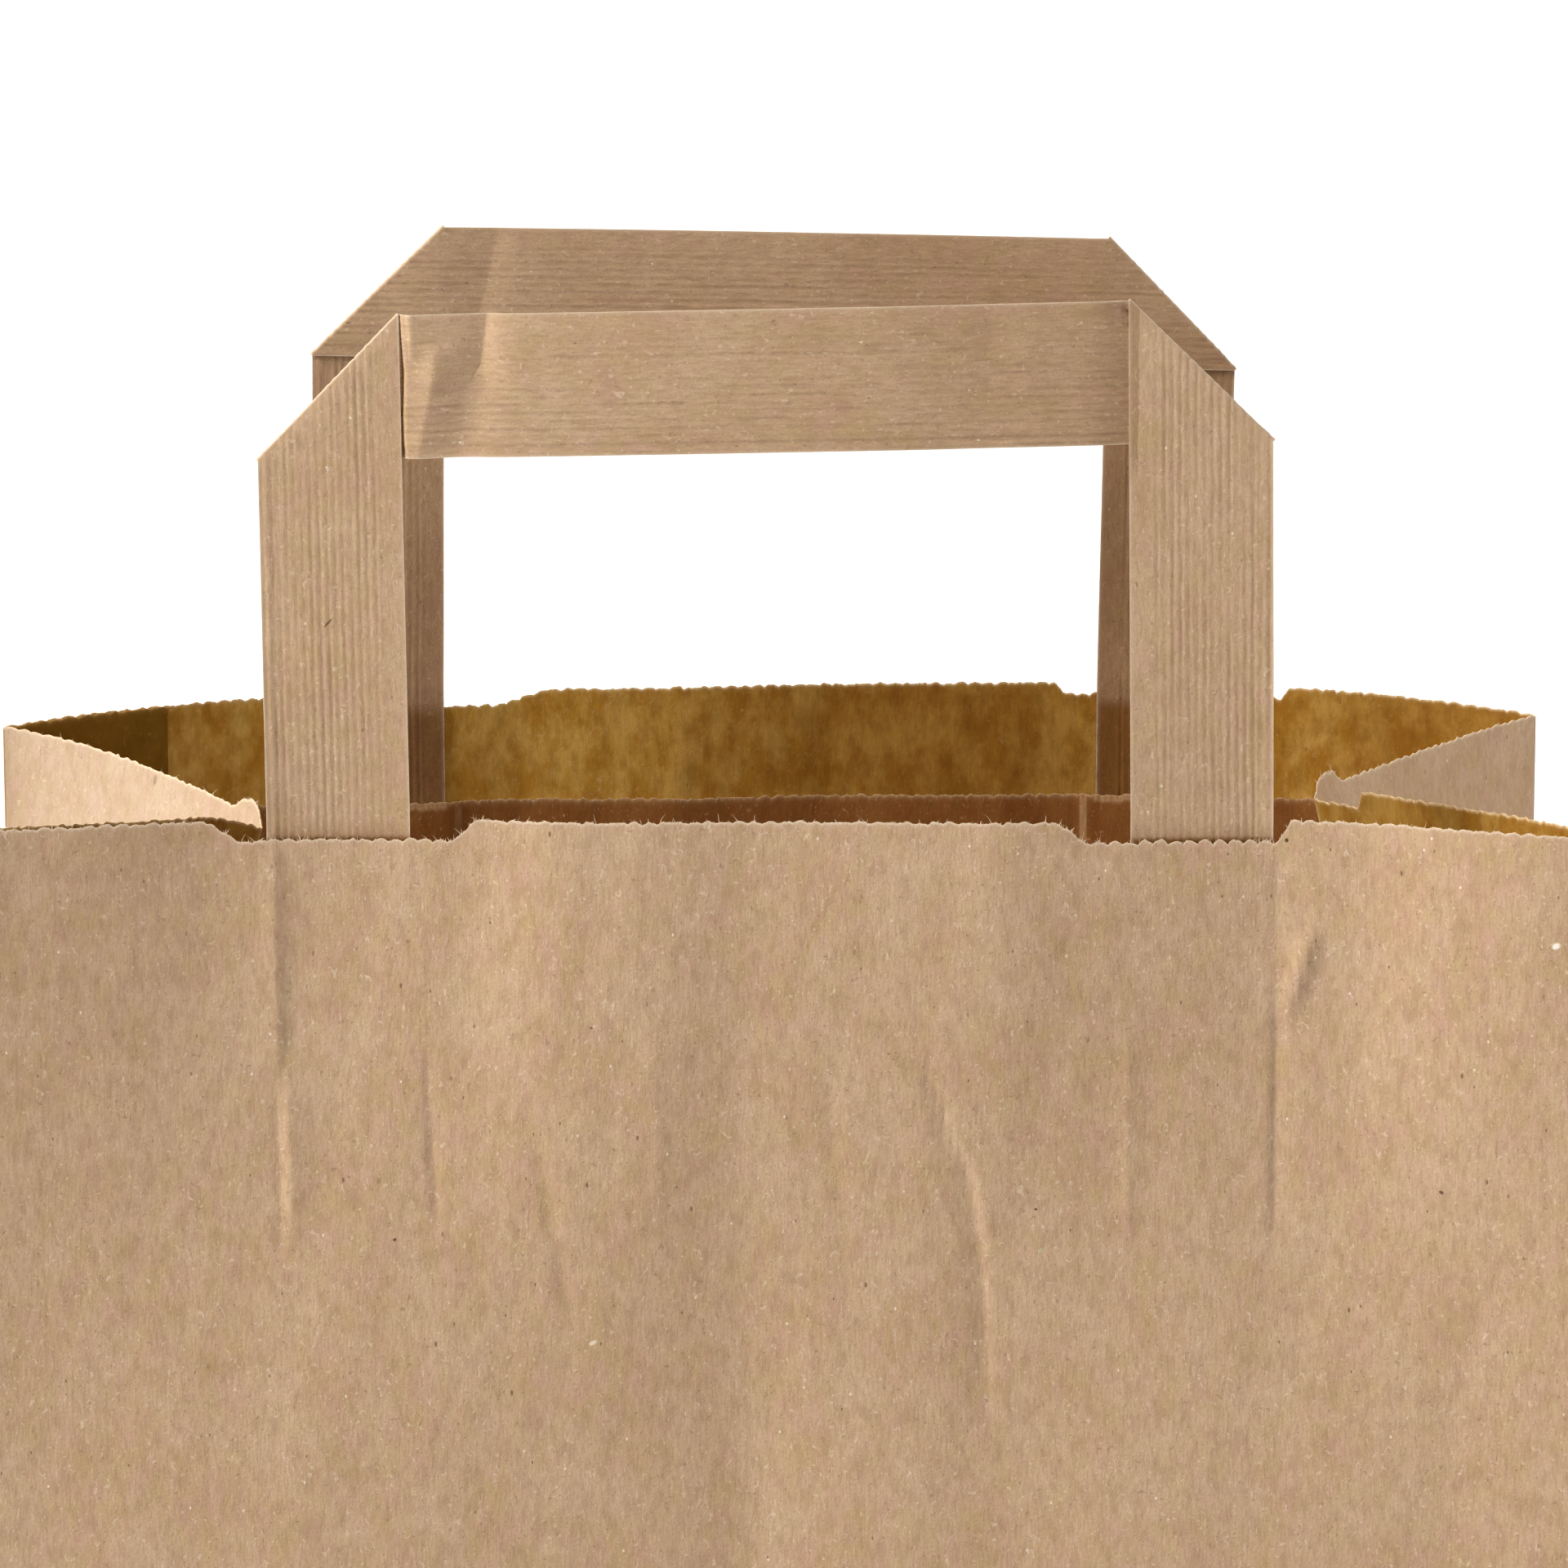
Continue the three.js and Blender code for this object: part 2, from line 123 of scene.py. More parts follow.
# Slow swell of a wall, in mm outwards by x, near the mouth and far below it
frontWall["swell"] = dict(
    x=(-160, -123, -106, -90, -73, -56, -40, -23, -6, 10, 27, 43, 60, 77, 93, 110, 127, 143, 160),
    high=(0, -0.8, -3.0, -3.5, -2.8, -1.6, 1.9, 2.8, 1.6, 1.8,
          2.6, 3.3, 1.0, -1.0, -3.6, -3.3, 0.0, 1.6, 0),
    low=(0, 1.5, 2.0, 2.2, 2.0, 1.3, 0.4, -0.7, -3.0, -1.4,
         -1.0, -1.8, -1.1, -1.1, -1.5, -1.9, -2.2, -1.0, 0),
)
backWall["swell"] = dict(
    x=(-160, -110, -80, -50, -20, 10, 40, 70, 100, 130, 160),
    high=(0, 0.5, -0.6, 0.6, -0.5, 0.7, -0.6, 0.5, -0.5, 0.4, 0),
    low=(0, -0.8, 0.7, -0.4, 0.9, -0.7, 0.8, -0.9, 0.6, -0.4, 0),
)

# How deep the inside looks along a wall, by x: 0 where much light comes through, 1 where little does
frontWall["through"] = ((-160, 160), (0.5, 0.5))
backWall["through"] = (
    (-160, -95, -75, -40, -10, 15, 40, 62, 90, 112, 130, 160),
    (0.1, 0.15, 0.25, 0.25, 0.5, 0.8, 0.8, 0.7, 0.4, 0.3, 0.7, 0.75),
)

# Swells and creases set in over the first height, still, and the low line goes over to the high one
# between the other two. Slow and fine waves: height in mm, length, and how they slant.
rumples = dict(
    still=90, low=140, high=262,
    drift=0.01, driftFrom=265,  # the low line leans
    slow=(0.16, 46, 0.3), fine=(0.14, 13, 0.2),
)

# The saw-cut edge
saw = dict(
    pitch=2.87,
    depth=0.42,  # of the teeth on the plain edge
    deep=1.0,  # of the teeth in a notch
    ragged=0.19,  # torn fibres between the teeth
    uneven=0.6,  # how much one tooth differs from the next
    wear=0.22,  # width of the pale torn line
    band=12.0,  # strip under the teeth where the rows of the mesh follow the cut
    rows=(0, 0.25, 0.48, 0.66, 0.8, 0.9, 0.95, 1.0),  # of that strip, closer towards the cut
    samples=8,  # columns of the mesh in a tooth
)
bandFoot = sheet["height"] - saw["band"]

# The rumpled tips of the gusset creases: lift of the tip, and how far the edge of each arm lies
# below the mouth, by distance from the crease
tips = dict(
    lift={-1: -1.0, 1: 2.4},
    front={
        -1: ((0, 2, 5, 8, 12, 17, 40, 80, 85), (1.3, 1.2, 0.45, -0.2, -0.9, -1.2, -0.75, -0.65, 0)),
        1: ((0, 13, 15, 60, 80, 85), (1.6, 1.9, -1.6, -1.4, -0.9, 0)),
    },
    back=((0, 2, 4, 6, 9, 11.5, 85), (1.6, -0.8, -2.3, -2.8, -2.5, 0, 0)),
    bow={-1: 6.0, 1: 2.0},  # the arm beside the back wall keeps a bend
)


def smooth(x, low, high):
    # three t squared minus two t cubed, with t running from 0 at low to 1 at high
    t = np.clip((x - low) / (high - low), 0, 1)
    return t * t * (3 - 2 * t)


def waves(x, seed, length, octaves=3):
    # soft random line: smooth stretches between seeded values, halved in length and size each time
    total = np.zeros_like(np.asarray(x, float))
    for octave in range(octaves):
        values = np.random.default_rng(seed + octave).uniform(-1, 1, 4096)
        place = np.asarray(x, float) / length * 2 ** octave
        low = np.floor(place).astype(int)
        part = smooth(place - low, 0, 1)
        total += (values[low % 4096] * (1 - part) + values[(low + 1) % 4096] * part) / 2 ** octave
    return total


def mouthShift(wall, s):
    # lean along the mouth plus a bow of 1 - |s|^power, pushed to one side by a sine
    lean = wall["left"] + (wall["right"] - wall["left"]) * (s + 1) / 2
    curve = 1 - np.abs(s) ** wall["power"] + wall["skew"] * np.sin(np.pi * s)
    return lean + wall["bow"] * curve


def mouthHeight(wall, s):
    # the paper keeps its length as the wall leans
    return np.sqrt(sheet["height"] ** 2 - mouthShift(wall, s) ** 2 - (sheet["narrowing"] * s) ** 2)


def ridges(wall, x, z):
    # each crease is a bump exp(-|d|^1.4) around a line, sharp at its top and faded out past its ends
    total = np.zeros(np.broadcast(x, z).shape)
    for x0, z0, x1, z1, height, left, right in wall["creases"]:
        length = math.hypot(x1 - x0, z1 - z0)
        along = ((x - x0) * (x1 - x0) + (z - z0) * (z1 - z0)) / length
        across = ((x - x0) * (z1 - z0) - (z - z0) * (x1 - x0)) / length
        width = np.where(across > 0, left, right)
        soft = min(length / 4, 2 * max(left, right))
        fade = smooth(along, -soft, soft) * (1 - smooth(along, length - soft, length + soft))
        total += height * fade * np.exp(-np.abs(across / width) ** 1.4)
    return total


def swellTable(wall, height):
    # the listed swell along x, blurred by a bell curve 4 mm wide so that it has no corners
    x = np.arange(-200, 200.5, 0.5)
    bell = np.exp(-(np.arange(-12, 12.5, 0.5) / 4) ** 2)
    line = np.interp(x, wall["swell"]["x"], wall["swell"][height])
    return x, np.convolve(line, bell / bell.sum(), mode="same")


for wall in (frontWall, backWall):
    wall["swellHigh"] = swellTable(wall, "high")
    wall["swellLow"] = swellTable(wall, "low")


def rumple(wall, x, z):
    # creases, the swell and two soft random lines, held at zero along the folds and towards the
    # bottom; outwards is positive
    hold = (1 - np.clip(np.abs(x) / half, 0, 1) ** 10) * smooth(z, 0, rumples["still"])
    low = smooth(z, rumples["high"], rumples["low"])
    shifted = x + rumples["drift"] * (z - rumples["driftFrom"])
    swell = np.interp(x, *wall["swellHigh"]) * (1 - low) + np.interp(shifted, *wall["swellLow"]) * low
    height, length, slant = rumples["slow"]
    swell = swell + height * waves(z + slant * x, wall["seed"] + 9, length)
    height, length, slant = rumples["fine"]
    swell = swell + height * waves(x - slant * z, wall["seed"] + 5, length)
    return hold * (ridges(wall, x, z) + swell)


def wallPoint(wall, s, h):
    # s runs from -1 at the left fold to 1 at the right one, h is the height along the paper: a
    # straight way from the bottom fold to the bowed mouth, plus the rumples
    k = h / sheet["height"]
    x = s * (half - sheet["narrowing"] * k)
    z = floorRise + mouthHeight(wall, s) * k
    y = wall["base"] + mouthShift(wall, s) * k - wall["inward"] * rumple(wall, x, z)
    return np.stack(np.broadcast_arrays(x, y, z), axis=-1)


def wallFace(wall, x, z):
    # outer face of a wall at x and z, found back from the two by a few steps
    s = x / half
    for _ in range(4):
        k = (z - floorRise) / mouthHeight(wall, s)
        s = np.clip(x / (half - sheet["narrowing"] * k), -1, 1)
    return wall["base"] + mouthShift(wall, s) * k - wall["inward"] * rumple(wall, x, z)


def insideWall(wall, x, z, depth):
    # the same, moved in by depth across the wall
    step = 0.5
    face = wallFace(wall, x, z)
    slopeX = (wallFace(wall, x + step, z) - face) / step
    slopeZ = (wallFace(wall, x, z + step) - face) / step
    return face + wall["inward"] * depth * np.sqrt(1 + slopeX ** 2 + slopeZ ** 2)


def corner(wall, side):
    # where the fold between a wall and a gusset ends at the mouth
    x = side * (half - sheet["narrowing"])
    shift = mouthShift(wall, float(side))
    return np.array([x, wall["base"] + shift, floorRise + mouthHeight(wall, float(side))])


def gussetPoint(side, q, h):
    # q runs from -1 at the front fold over 0 at the crease to 1 at the back fold. Below the slanting
    # creases the paper stands straight, above them each arm runs straight from the slant to the
    # mouth, where it turns in to the tip. The tip lies one arm's length from both corners.
    front, back = corner(frontWall, side), corner(backWall, side)
    reach = math.sqrt(arm ** 2 - (np.linalg.norm(front - back) / 2) ** 2)
    kneeRise = math.sqrt(arm ** 2 - sheet["knee"] ** 2)
    knee = np.array([side * (half - sheet["knee"]), 0, floorRise + kneeRise])
    tip = (front + back) / 2
    tip[0] -= side * reach
    run = (tip - knee)[:2]
    tip[2] = knee[2] + math.sqrt((sheet["height"] - arm) ** 2 - run @ run) + tips["lift"][side]
    a = 1 - np.abs(q)
    isFront = (q < 0)[..., None]
    fold = np.where(isFront, front, back)
    base = np.where(q < 0, -arm, arm)
    foot = np.stack([np.full_like(q, side * half), q * arm, np.full_like(q, floorRise)], axis=-1)
    start = np.stack([np.full_like(q, side * half), base, np.full_like(q, floorRise)], axis=-1)
    slant = start + (knee - start) * a[..., None]
    top = fold + (tip - fold) * a[..., None]
    chord = tip - back
    across = np.array([chord[1], -chord[0], 0]) / math.hypot(chord[0], chord[1])
    across *= np.sign(across[1])
    bend = tips["bow"][side] * np.sin(np.pi * a ** 0.7) * (q > 0)
    top = top + across * bend[..., None]
    kneeHeight = a * arm
    with np.errstate(divide="ignore", invalid="ignore"):
        low = foot + (slant - foot) * np.where(kneeHeight > 0, h / kneeHeight, 0)[..., None]
    high = slant + (top - slant) * ((h - kneeHeight) / (sheet["height"] - kneeHeight))[..., None]
    return np.where((h <= kneeHeight)[..., None], low, high)


def notchDrop(wall, x):
    # full depth across the leg and its margins, then a straight shoulder on either side
    drop = np.zeros_like(x)
    for name, side in (("left", -1), ("right", 1)):
        notch = wall["notches"][name]
        fromLeg = side * x - tape["spacing"] / 2
        out = (fromLeg - tape["width"] / 2 - notch["outer"]) / notch["outerSlope"]
        into = (-fromLeg - tape["width"] / 2 - notch["inner"]) / notch["innerSlope"]
        drop += notch["depth"] * (1 - np.clip(np.maximum(out, into), 0, 1))
    return drop


def sawEdge(width, x, seed, notch=0.0):
    # scallops |sin| with sharp valleys, each a little different and deeper in a notch, with torn
    # fibres between them
    count = round(width / saw["pitch"])
    phase = np.pi * x / width * count
    scallop = np.abs(np.sin(phase)) ** 0.8
    hold = smooth(x, 0, 4) * smooth(width - x, 0, 4)
    each = saw["uneven"] * waves(np.floor(x / width * count) * 7.3, seed, 5, 1)
    torn = saw["ragged"] * waves(x, seed + 3, 0.8, 2)
    depth = saw["depth"] + (saw["deep"] - saw["depth"]) * notch
    return -depth * (1 - scallop * (1 - hold * np.abs(each))) + hold * torn


def wallCut(wall, t, direction, seed):
    # height of the cut edge along the sheet, t from 0 to 1 along the piece. The teeth are deeper in
    # the notches, the more so to the right.
    s = direction * (2 * t - 1)
    drop = notchDrop(wall, s * (half - sheet["narrowing"]))
    deep = np.clip(drop / 2, 0, 1) * np.interp(s * half, (20, 95), (0.25, 1.0))
    return sheet["height"] - drop + sawEdge(sheet["width"], t * sheet["width"], seed, deep)


def gussetCut(side, t, seed):
    # the same for a gusset, whose arms lie lower near the crease
    q = side * (2 * t - 1)
    distance = np.abs(q) * arm
    frontDrop, backDrop = np.interp(distance, *tips["front"][side]), np.interp(distance, *tips["back"])
    drop = np.where(q < 0, frontDrop, backDrop)
    return sheet["height"] + sawEdge(sheet["gusset"], t * sheet["gusset"], seed) - drop


def gridNormal(points):
    # cross product of the two grid directions
    along = np.gradient(points, axis=1)
    up = np.gradient(points, axis=0)
    normal = np.cross(along, up)
    return normal / np.maximum(np.linalg.norm(normal, axis=-1, keepdims=True), 1e-12)


def rowHeights(even, cut):
    # the even rows, then those of the band, each at its share of the way from its foot to the cut
    band = bandFoot + np.outer(saw["rows"], cut - bandFoot)
    return np.concatenate([np.outer(even, np.ones_like(cut)), band])


def sheetPlace(across, up):
    # where each point lies on the paper's pattern, in mm
    return np.stack(np.broadcast_arrays(across, up), axis=-1)


def meshPiece(name, points, faces, materials, slot, nodes, uv=None, second=None, sharp=35, **values):
    # a mesh in place of the CAD nodes named, with an attribute for each of the values. second is 1
    # for the faces that take the second material.
    mesh = bpy.data.meshes.new(name)
    mesh.from_pydata((points * mm).tolist(), [], faces.tolist())
    for material in materials:
        mesh.materials.append(material)
    if uv is not None:
        corners = np.empty(len(mesh.loops), dtype=np.int32)
        mesh.loops.foreach_get("vertex_index", corners)
        layer = mesh.uv_layers.new(name="sheet")
        layer.data.foreach_set("uv", (uv[corners] / patternUnit).astype(np.float32).ravel())
    for key, value in values.items():
        mesh.attributes.new(key, "FLOAT", "POINT").data.foreach_set("value", value.astype(np.float32))
    if second is not None:
        mesh.polygons.foreach_set("material_index", second.astype(np.int32))
    mesh.shade_smooth()
    mesh.set_sharp_from_angle(angle=math.radians(sharp))
    mesh.validate()
    piece = bpy.data.objects.new(name, mesh)
    bpy.context.collection.objects.link(piece)
    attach(piece, "root")
    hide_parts(*nodes)
    print(name, len(mesh.polygons), "faces")


def slab(name, outer, thickness, uv, materials, slot, nodes, **values):
    # a closed sheet: the outer grid, the same grid moved in along its normals, and a rim between.
    # A value is one for both skins or a pair. The second material is that of the inside.
    grid = outer.shape[:2]
    skinSize = grid[0] * grid[1]
    inner = outer - gridNormal(outer) * thickness
    points = np.concatenate([outer.reshape(-1, 3), inner.reshape(-1, 3)])
    index = np.arange(skinSize).reshape(grid)
    a, b, c, d = index[:-1, :-1], index[:-1, 1:], index[1:, 1:], index[1:, :-1]
    outside = np.stack([a, b, c, d], axis=-1).reshape(-1, 4)
    inside = np.stack([a, d, c, b], axis=-1).reshape(-1, 4) + skinSize
    loop = np.concatenate([index[0, :], index[1:, -1], index[-1, -2::-1], index[-2:0:-1, 0]])
    after = np.roll(loop, -1)
    rim = np.stack([after, loop, loop + skinSize, after + skinSize], axis=-1)
    faces = np.concatenate([outside, inside, rim])
    second = np.repeat([0, 1], [len(outside), len(inside) + len(rim)]) * (len(materials) > 1)
    for key, value in values.items():
        skins = value if isinstance(value, tuple) else (value, value)
        values[key] = np.concatenate([np.broadcast_to(skin, grid).ravel() for skin in skins])
    flat = np.tile(uv.reshape(-1, 2), (2, 1))
    meshPiece(name, points, faces, materials, slot, nodes, flat, second, **values)


print("materials")


def feed(tree, socket, source):
    # link a socket to another one, or set its value
    if isinstance(source, bpy.types.NodeSocket):
        tree.links.new(source, socket)
    else:
        socket.default_value = source


def node(tree, kind, **values):
    # a node with its settings and its sockets given by name
    made = tree.nodes.new(kind)
    for key, value in values.items():
        if hasattr(made, key):
            setattr(made, key, value)
        else:
            feed(tree, made.inputs[key.replace("_", " ")], value)
    return made


def calc(tree, operation, *terms):
    # a sum worked out by a node, its terms sockets or numbers
    made = node(tree, "ShaderNodeMath", operation=operation)
    for place, term in enumerate(terms):
        feed(tree, made.inputs[place], term)
    return made.outputs[0]


def mixColour(tree, factor, first, second, blend="MIX"):
    # first goes over to second by the factor
    mix = node(tree, "ShaderNodeMix", data_type="RGBA", blend_type=blend)
    for source, place in ((factor, 0), (first, 6), (second, 7)):
        feed(tree, mix.inputs[place], source)
    return mix.outputs[2]


def rampOf(tree, source, low, high, first=0.0, last=1.0):
    # straight rise from first at low to last at high
    ends = dict(From_Min=low, From_Max=high, To_Min=first, To_Max=last)
    return node(tree, "ShaderNodeMapRange", Value=source, **ends).outputs["Result"]


def placed(tree, vector, size, longer, turn, shift):
    # the pattern's coordinates with size mm as the unit, stretched upwards, turned and shifted
    scale = patternUnit / size
    return node(
        tree, "ShaderNodeMapping", Vector=vector, Scale=(scale, scale / longer, 1),
        Rotation=(0, 0, turn), Location=(shift, shift * 0.7, shift * 0.3),
    ).outputs[0]


def noiseAt(tree, vector, size, longer=1.0, detail=2.0, roughness=0.5, shift=0.0, turn=0.0):
    # noise whose blobs are about size mm wide
    place = placed(tree, vector, size, longer, turn, shift)
    made = node(tree, "ShaderNodeTexNoise", Vector=place, Scale=1.0, Detail=detail, Roughness=roughness)
    return made.outputs[0]


def spots(tree, vector, cell, radius, share, longer, turn, shift):
    # round or long dots, one in each cell of a jittered grid, kept in a share of the cells
    place = placed(tree, vector, cell, longer, turn, shift)
    cells = node(tree, "ShaderNodeTexVoronoi", voronoi_dimensions="2D", Vector=place, Scale=1.0)
    dot = rampOf(tree, cells.outputs["Distance"], radius / cell, 0.55 * radius / cell)
    parts = node(tree, "ShaderNodeSeparateColor", Color=cells.outputs["Color"])
    kept = rampOf(tree, parts.outputs[0], share, share * 0.6)
    return calc(tree, "MULTIPLY", dot, kept)


def threads(tree, vector, size, width, share, longer, turn, shift):
    # thin curved fibres: the level lines of a soft noise, kept only where a second noise is high
    line = noiseAt(tree, vector, size, longer, 1.0, 0.5, shift, turn)
    away = calc(tree, "ABSOLUTE", calc(tree, "SUBTRACT", line, 0.5))
    thin = rampOf(tree, away, width, width * 0.3)
    where = noiseAt(tree, vector, size * 0.55, 1.0, 1.0, 0.5, shift + 17)
    return calc(tree, "MULTIPLY", thin, rampOf(tree, where, share, share + 0.04))


def mark(tree, vector, place, size, turn):
    # one oval spot: place and half sizes in mm on the sheet, full inside and fading over its rim
    oval = node(
        tree, "ShaderNodeMapping", vector_type="TEXTURE", Vector=vector, Rotation=(0, 0, turn),
        Location=(place[0] / patternUnit, place[1] / patternUnit, 0),
        Scale=(size[0] / patternUnit, size[1] / patternUnit, 1),
    )
    away = tree.nodes.new("ShaderNodeVectorMath")
    away.operation = "LENGTH"
    feed(tree, away.inputs[0], oval.outputs[0])
    return rampOf(tree, away.outputs["Value"], 1.0, 0.55)


# The paper's noises: size in mm, how much longer upwards, detail, roughness and shift
paperNoises = dict(
    tint=(4.6, 1.5, 3, 0.6, 0),
    mottle=(2.2, 2.4, 2, 0.6, 57),
    grain=(0.55, 5.5, 3, 0.7, 3),
    pulp=(0.5, 1, 2, 0.7, 9),
)
# Its fibres: size, line width, share, how much longer, turn, shift, strength and colour
paperFibres = [
    (1.7, 0.022, 0.60, 2.2, 0.2, 21, 1.0, "pale"),
    (2.3, 0.022, 0.60, 2.2, 1.2, 34, 1.0, "pale"),
    (1.5, 0.020, 0.62, 1.8, -0.3, 71, 0.9, "shade"),
    (2.1, 0.020, 0.62, 1.8, 1.4, 83, 0.9, "shade"),
]
# Its specks: cell, radius, share of the cells, how much longer, turn and shift
darkSpecks = [(4.6, 0.20, 0.10, 2.0, 0.3, 5), (11.0, 0.32, 0.10, 2.0, 1.1, 25)]
whiteSpecks = (8.0, 0.25, 0.14, 1.4, 0.6, 13)


def kraftMaterial(name, look):
    # paper from the pattern's own coordinates: tinted clouds of pulp, upright grain, curved pale and
    # dark fibres, a few dark and white specks, and a pale line along cut edges and folds, which is torn
    # and worn paper, and on the tape's edges and folds and the patches' lips and ramps painted
    # highlight
    material = bpy.data.materials.new(name)
    material.use_nodes = True
    tree = material.node_tree
    shader = tree.nodes["Principled BSDF"]
    shader.inputs["Roughness"].default_value = look["roughness"]
    shader.inputs["Specular IOR Level"].default_value = look["gloss"]
    uv = node(tree, "ShaderNodeUVMap", uv_map="sheet").outputs[0]
    noises = {key: noiseAt(tree, uv, *values) for key, values in paperNoises.items()}
    noises["cloud"] = noiseAt(tree, uv, look["cloudSize"], 1.5, 4, 0.62, 41)
    colour = mixColour(tree, rampOf(tree, noises["tint"], 0.36, 0.64), look["warm"], look["cool"])
    for noise, low, high, share, tone in (
        ("cloud", 0.40, 0.62, look["cloud"], "light"),
        ("mottle", 0.44, 0.70, look["mottle"], "dark"),
        ("grain", 0.42, 0.72, look["grain"], "dark"),
        ("pulp", 0.45, 0.72, look["grain"] * 0.6, "dark"),
    ):
        colour = mixColour(tree, rampOf(tree, noises[noise], low, high, 0, share), colour, look[tone])
    for *shape, strength, tone in paperFibres:
        line = calc(tree, "MULTIPLY", threads(tree, uv, *shape), look["fibre"] * strength)
        colour = mixColour(tree, line, colour, look[tone])
    for shape in darkSpecks:
        speck = calc(tree, "MULTIPLY", spots(tree, uv, *shape), look["fleck"])
        colour = mixColour(tree, speck, colour, look["shade"])
    speck = calc(tree, "MULTIPLY", spots(tree, uv, *whiteSpecks), 0.75)
    colour = mixColour(tree, speck, colour, look["white"])
    for place, size, turn, strength, tone in look.get("marks", ()):
        spot = calc(tree, "MULTIPLY", mark(tree, uv, place, size, turn), strength)
        colour = mixColour(tree, spot, colour, tone)
    if "valley" in look:
        # painted shade: the valleys between ribs and the ply step are darker, in broken lines
        groove = node(tree, "ShaderNodeAttribute", attribute_name="valley").outputs["Fac"]
        broken = rampOf(tree, noiseAt(tree, uv, 1.1, 6.0, shift=61), 0.36, 0.60)
        line = calc(tree, "MULTIPLY", groove, broken)
        colour = mixColour(tree, calc(tree, "MULTIPLY", line, look["valley"]), colour, look["shade"])
    if "glow" in look:
        # deep in the bag less light comes, and it comes through paper
        through = node(tree, "ShaderNodeAttribute", attribute_name="through").outputs["Fac"]
        colour = mixColour(tree, through, colour, look["glow"], "MULTIPLY")
    # pale torn and worn edges, with painted highlight on the tape's edges and folds and the patches'
    # lips and ramps
    cut = node(tree, "ShaderNodeAttribute", attribute_name="cutEdge").outputs["Fac"]
    torn = calc(tree, "MULTIPLY", cut, rampOf(tree, noises["grain"], 0.3, 0.7, 0.35, 1.2))
    colour = mixColour(tree, torn, colour, look["pale"])
    tree.links.new(colour, shader.inputs["Base Color"])
    relief = calc(tree, "ADD", noises["grain"], noises["pulp"])
    bump = node(tree, "ShaderNodeBump", Height=relief, Strength=look["relief"], Distance=0.00015)
    tree.links.new(bump.outputs[0], shader.inputs["Normal"])
    return material


def plainMaterial(name, colour):
    # one dull colour
    material = bpy.data.materials.new(name)
    material.use_nodes = True
    shader = material.node_tree.nodes["Principled BSDF"]
    shader.inputs["Base Color"].default_value = colour
    shader.inputs["Roughness"].default_value = 0.9
    return material


def srgb(red, green, blue):
    # colour as seen on a screen, 0 to 255, turned to linear light
    values = np.array([red, green, blue]) / 255
    linear = np.where(values <= 0.04045, values / 12.92, ((values + 0.055) / 1.055) ** 2.4)
    return (*linear.tolist(), 1)


# Looks: warm and cool are the two tints of the pulp, light its clouds, dark its grain, pale its torn
# edges and light fibres, shade its dark ones, white its specks, and glow the light through paper
outerLook = dict(
    warm=srgb(202, 163, 136), cool=srgb(195, 164, 121), light=srgb(207, 176, 143),
    dark=srgb(158, 122, 90), pale=srgb(234, 212, 184), shade=srgb(104, 76, 50),
    white=srgb(246, 230, 206),
    cloudSize=12, cloud=0.7, mottle=0.36, grain=0.42, fibre=0.42, fleck=0.75,
    roughness=0.86, gloss=0.25, relief=0.5,
)
outerLook["marks"] = [  # place on the pattern, half sizes, turn, strength and colour
    ((309.3, 249.0), (1.0, 0.7), 0.5, 0.95, srgb(252, 240, 222)),  # white speck near the right fold
    ((259.2, 266.0), (0.45, 0.5), 0.2, 0.9, srgb(60, 36, 16)),  # torn pinhole by the right notch
    ((643.6, 267.7), (0.7, 1.4), -0.2, 0.75, srgb(140, 118, 96)),  # grey smudge on the left gusset
    ((211.9, 188.0), (0.8, 0.5), 0.4, 0.6, srgb(196, 190, 150)),
    ((288.3, 200.5), (0.6, 0.4), -0.5, 0.85, srgb(84, 58, 38)),
    ((211.0, 196.0), (0.35, 0.3), 0, 0.9, srgb(70, 48, 30)),
    ((125.7, 231.0), (0.4, 0.3), 0, 0.7, srgb(90, 64, 40)),
    ((88.0, 190.5), (0.45, 0.35), 0.6, 0.9, srgb(70, 48, 30)),
    ((126.0, 170.5), (1.0, 0.5), 0.5, 0.8, srgb(240, 222, 196)),
]
foldedLook = dict(outerLook, grain=0.30, fibre=0.28, mottle=0.28, fleck=0.5)
litLook = dict(
    foldedLook, grain=0.24,
    warm=srgb(191, 160, 138), cool=srgb(185, 161, 125), light=srgb(196, 172, 146),
)
# The inside's golden colours are painted light: kraft lit by the light that comes through the paper
# from behind
innerLook = dict(
    warm=srgb(186, 130, 42), cool=srgb(196, 146, 52), light=srgb(222, 178, 92),
    dark=srgb(142, 95, 24), pale=srgb(246, 214, 164), shade=srgb(96, 62, 24),
    white=srgb(232, 196, 130), glow=srgb(168, 146, 92),
    cloudSize=6, cloud=0.95, mottle=0.35, grain=0.18, fibre=0.2, fleck=0.35,
    roughness=0.9, gloss=0.15, relief=0.3,
)
# The seam's dark olive colours are painted shade: the two plies let less of the light from behind
# through
seamLook = dict(
    warm=srgb(123, 83, 16), cool=srgb(127, 91, 19), light=srgb(139, 99, 28),
    dark=srgb(108, 72, 14), pale=srgb(190, 146, 84), shade=srgb(70, 46, 16),
    white=srgb(176, 132, 66),
    cloudSize=7, cloud=0.8, mottle=0.3, grain=0.18, fibre=0.2, fleck=0.3,
    roughness=0.9, gloss=0.15, relief=0.3,
)
# The patch's dark reddish colours are painted shade: kraft like the rest, lying deep in the bag
patchLook = dict(
    warm=srgb(135, 80, 34), cool=srgb(136, 87, 38), light=srgb(150, 99, 49),
    dark=srgb(102, 60, 24), pale=srgb(214, 176, 132), shade=srgb(70, 44, 24),
    white=srgb(206, 166, 120),
    cloudSize=8, cloud=0.7, mottle=0.3, grain=0.25, fibre=0.25, fleck=0.4,
    roughness=0.9, gloss=0.15, relief=0.35,
)
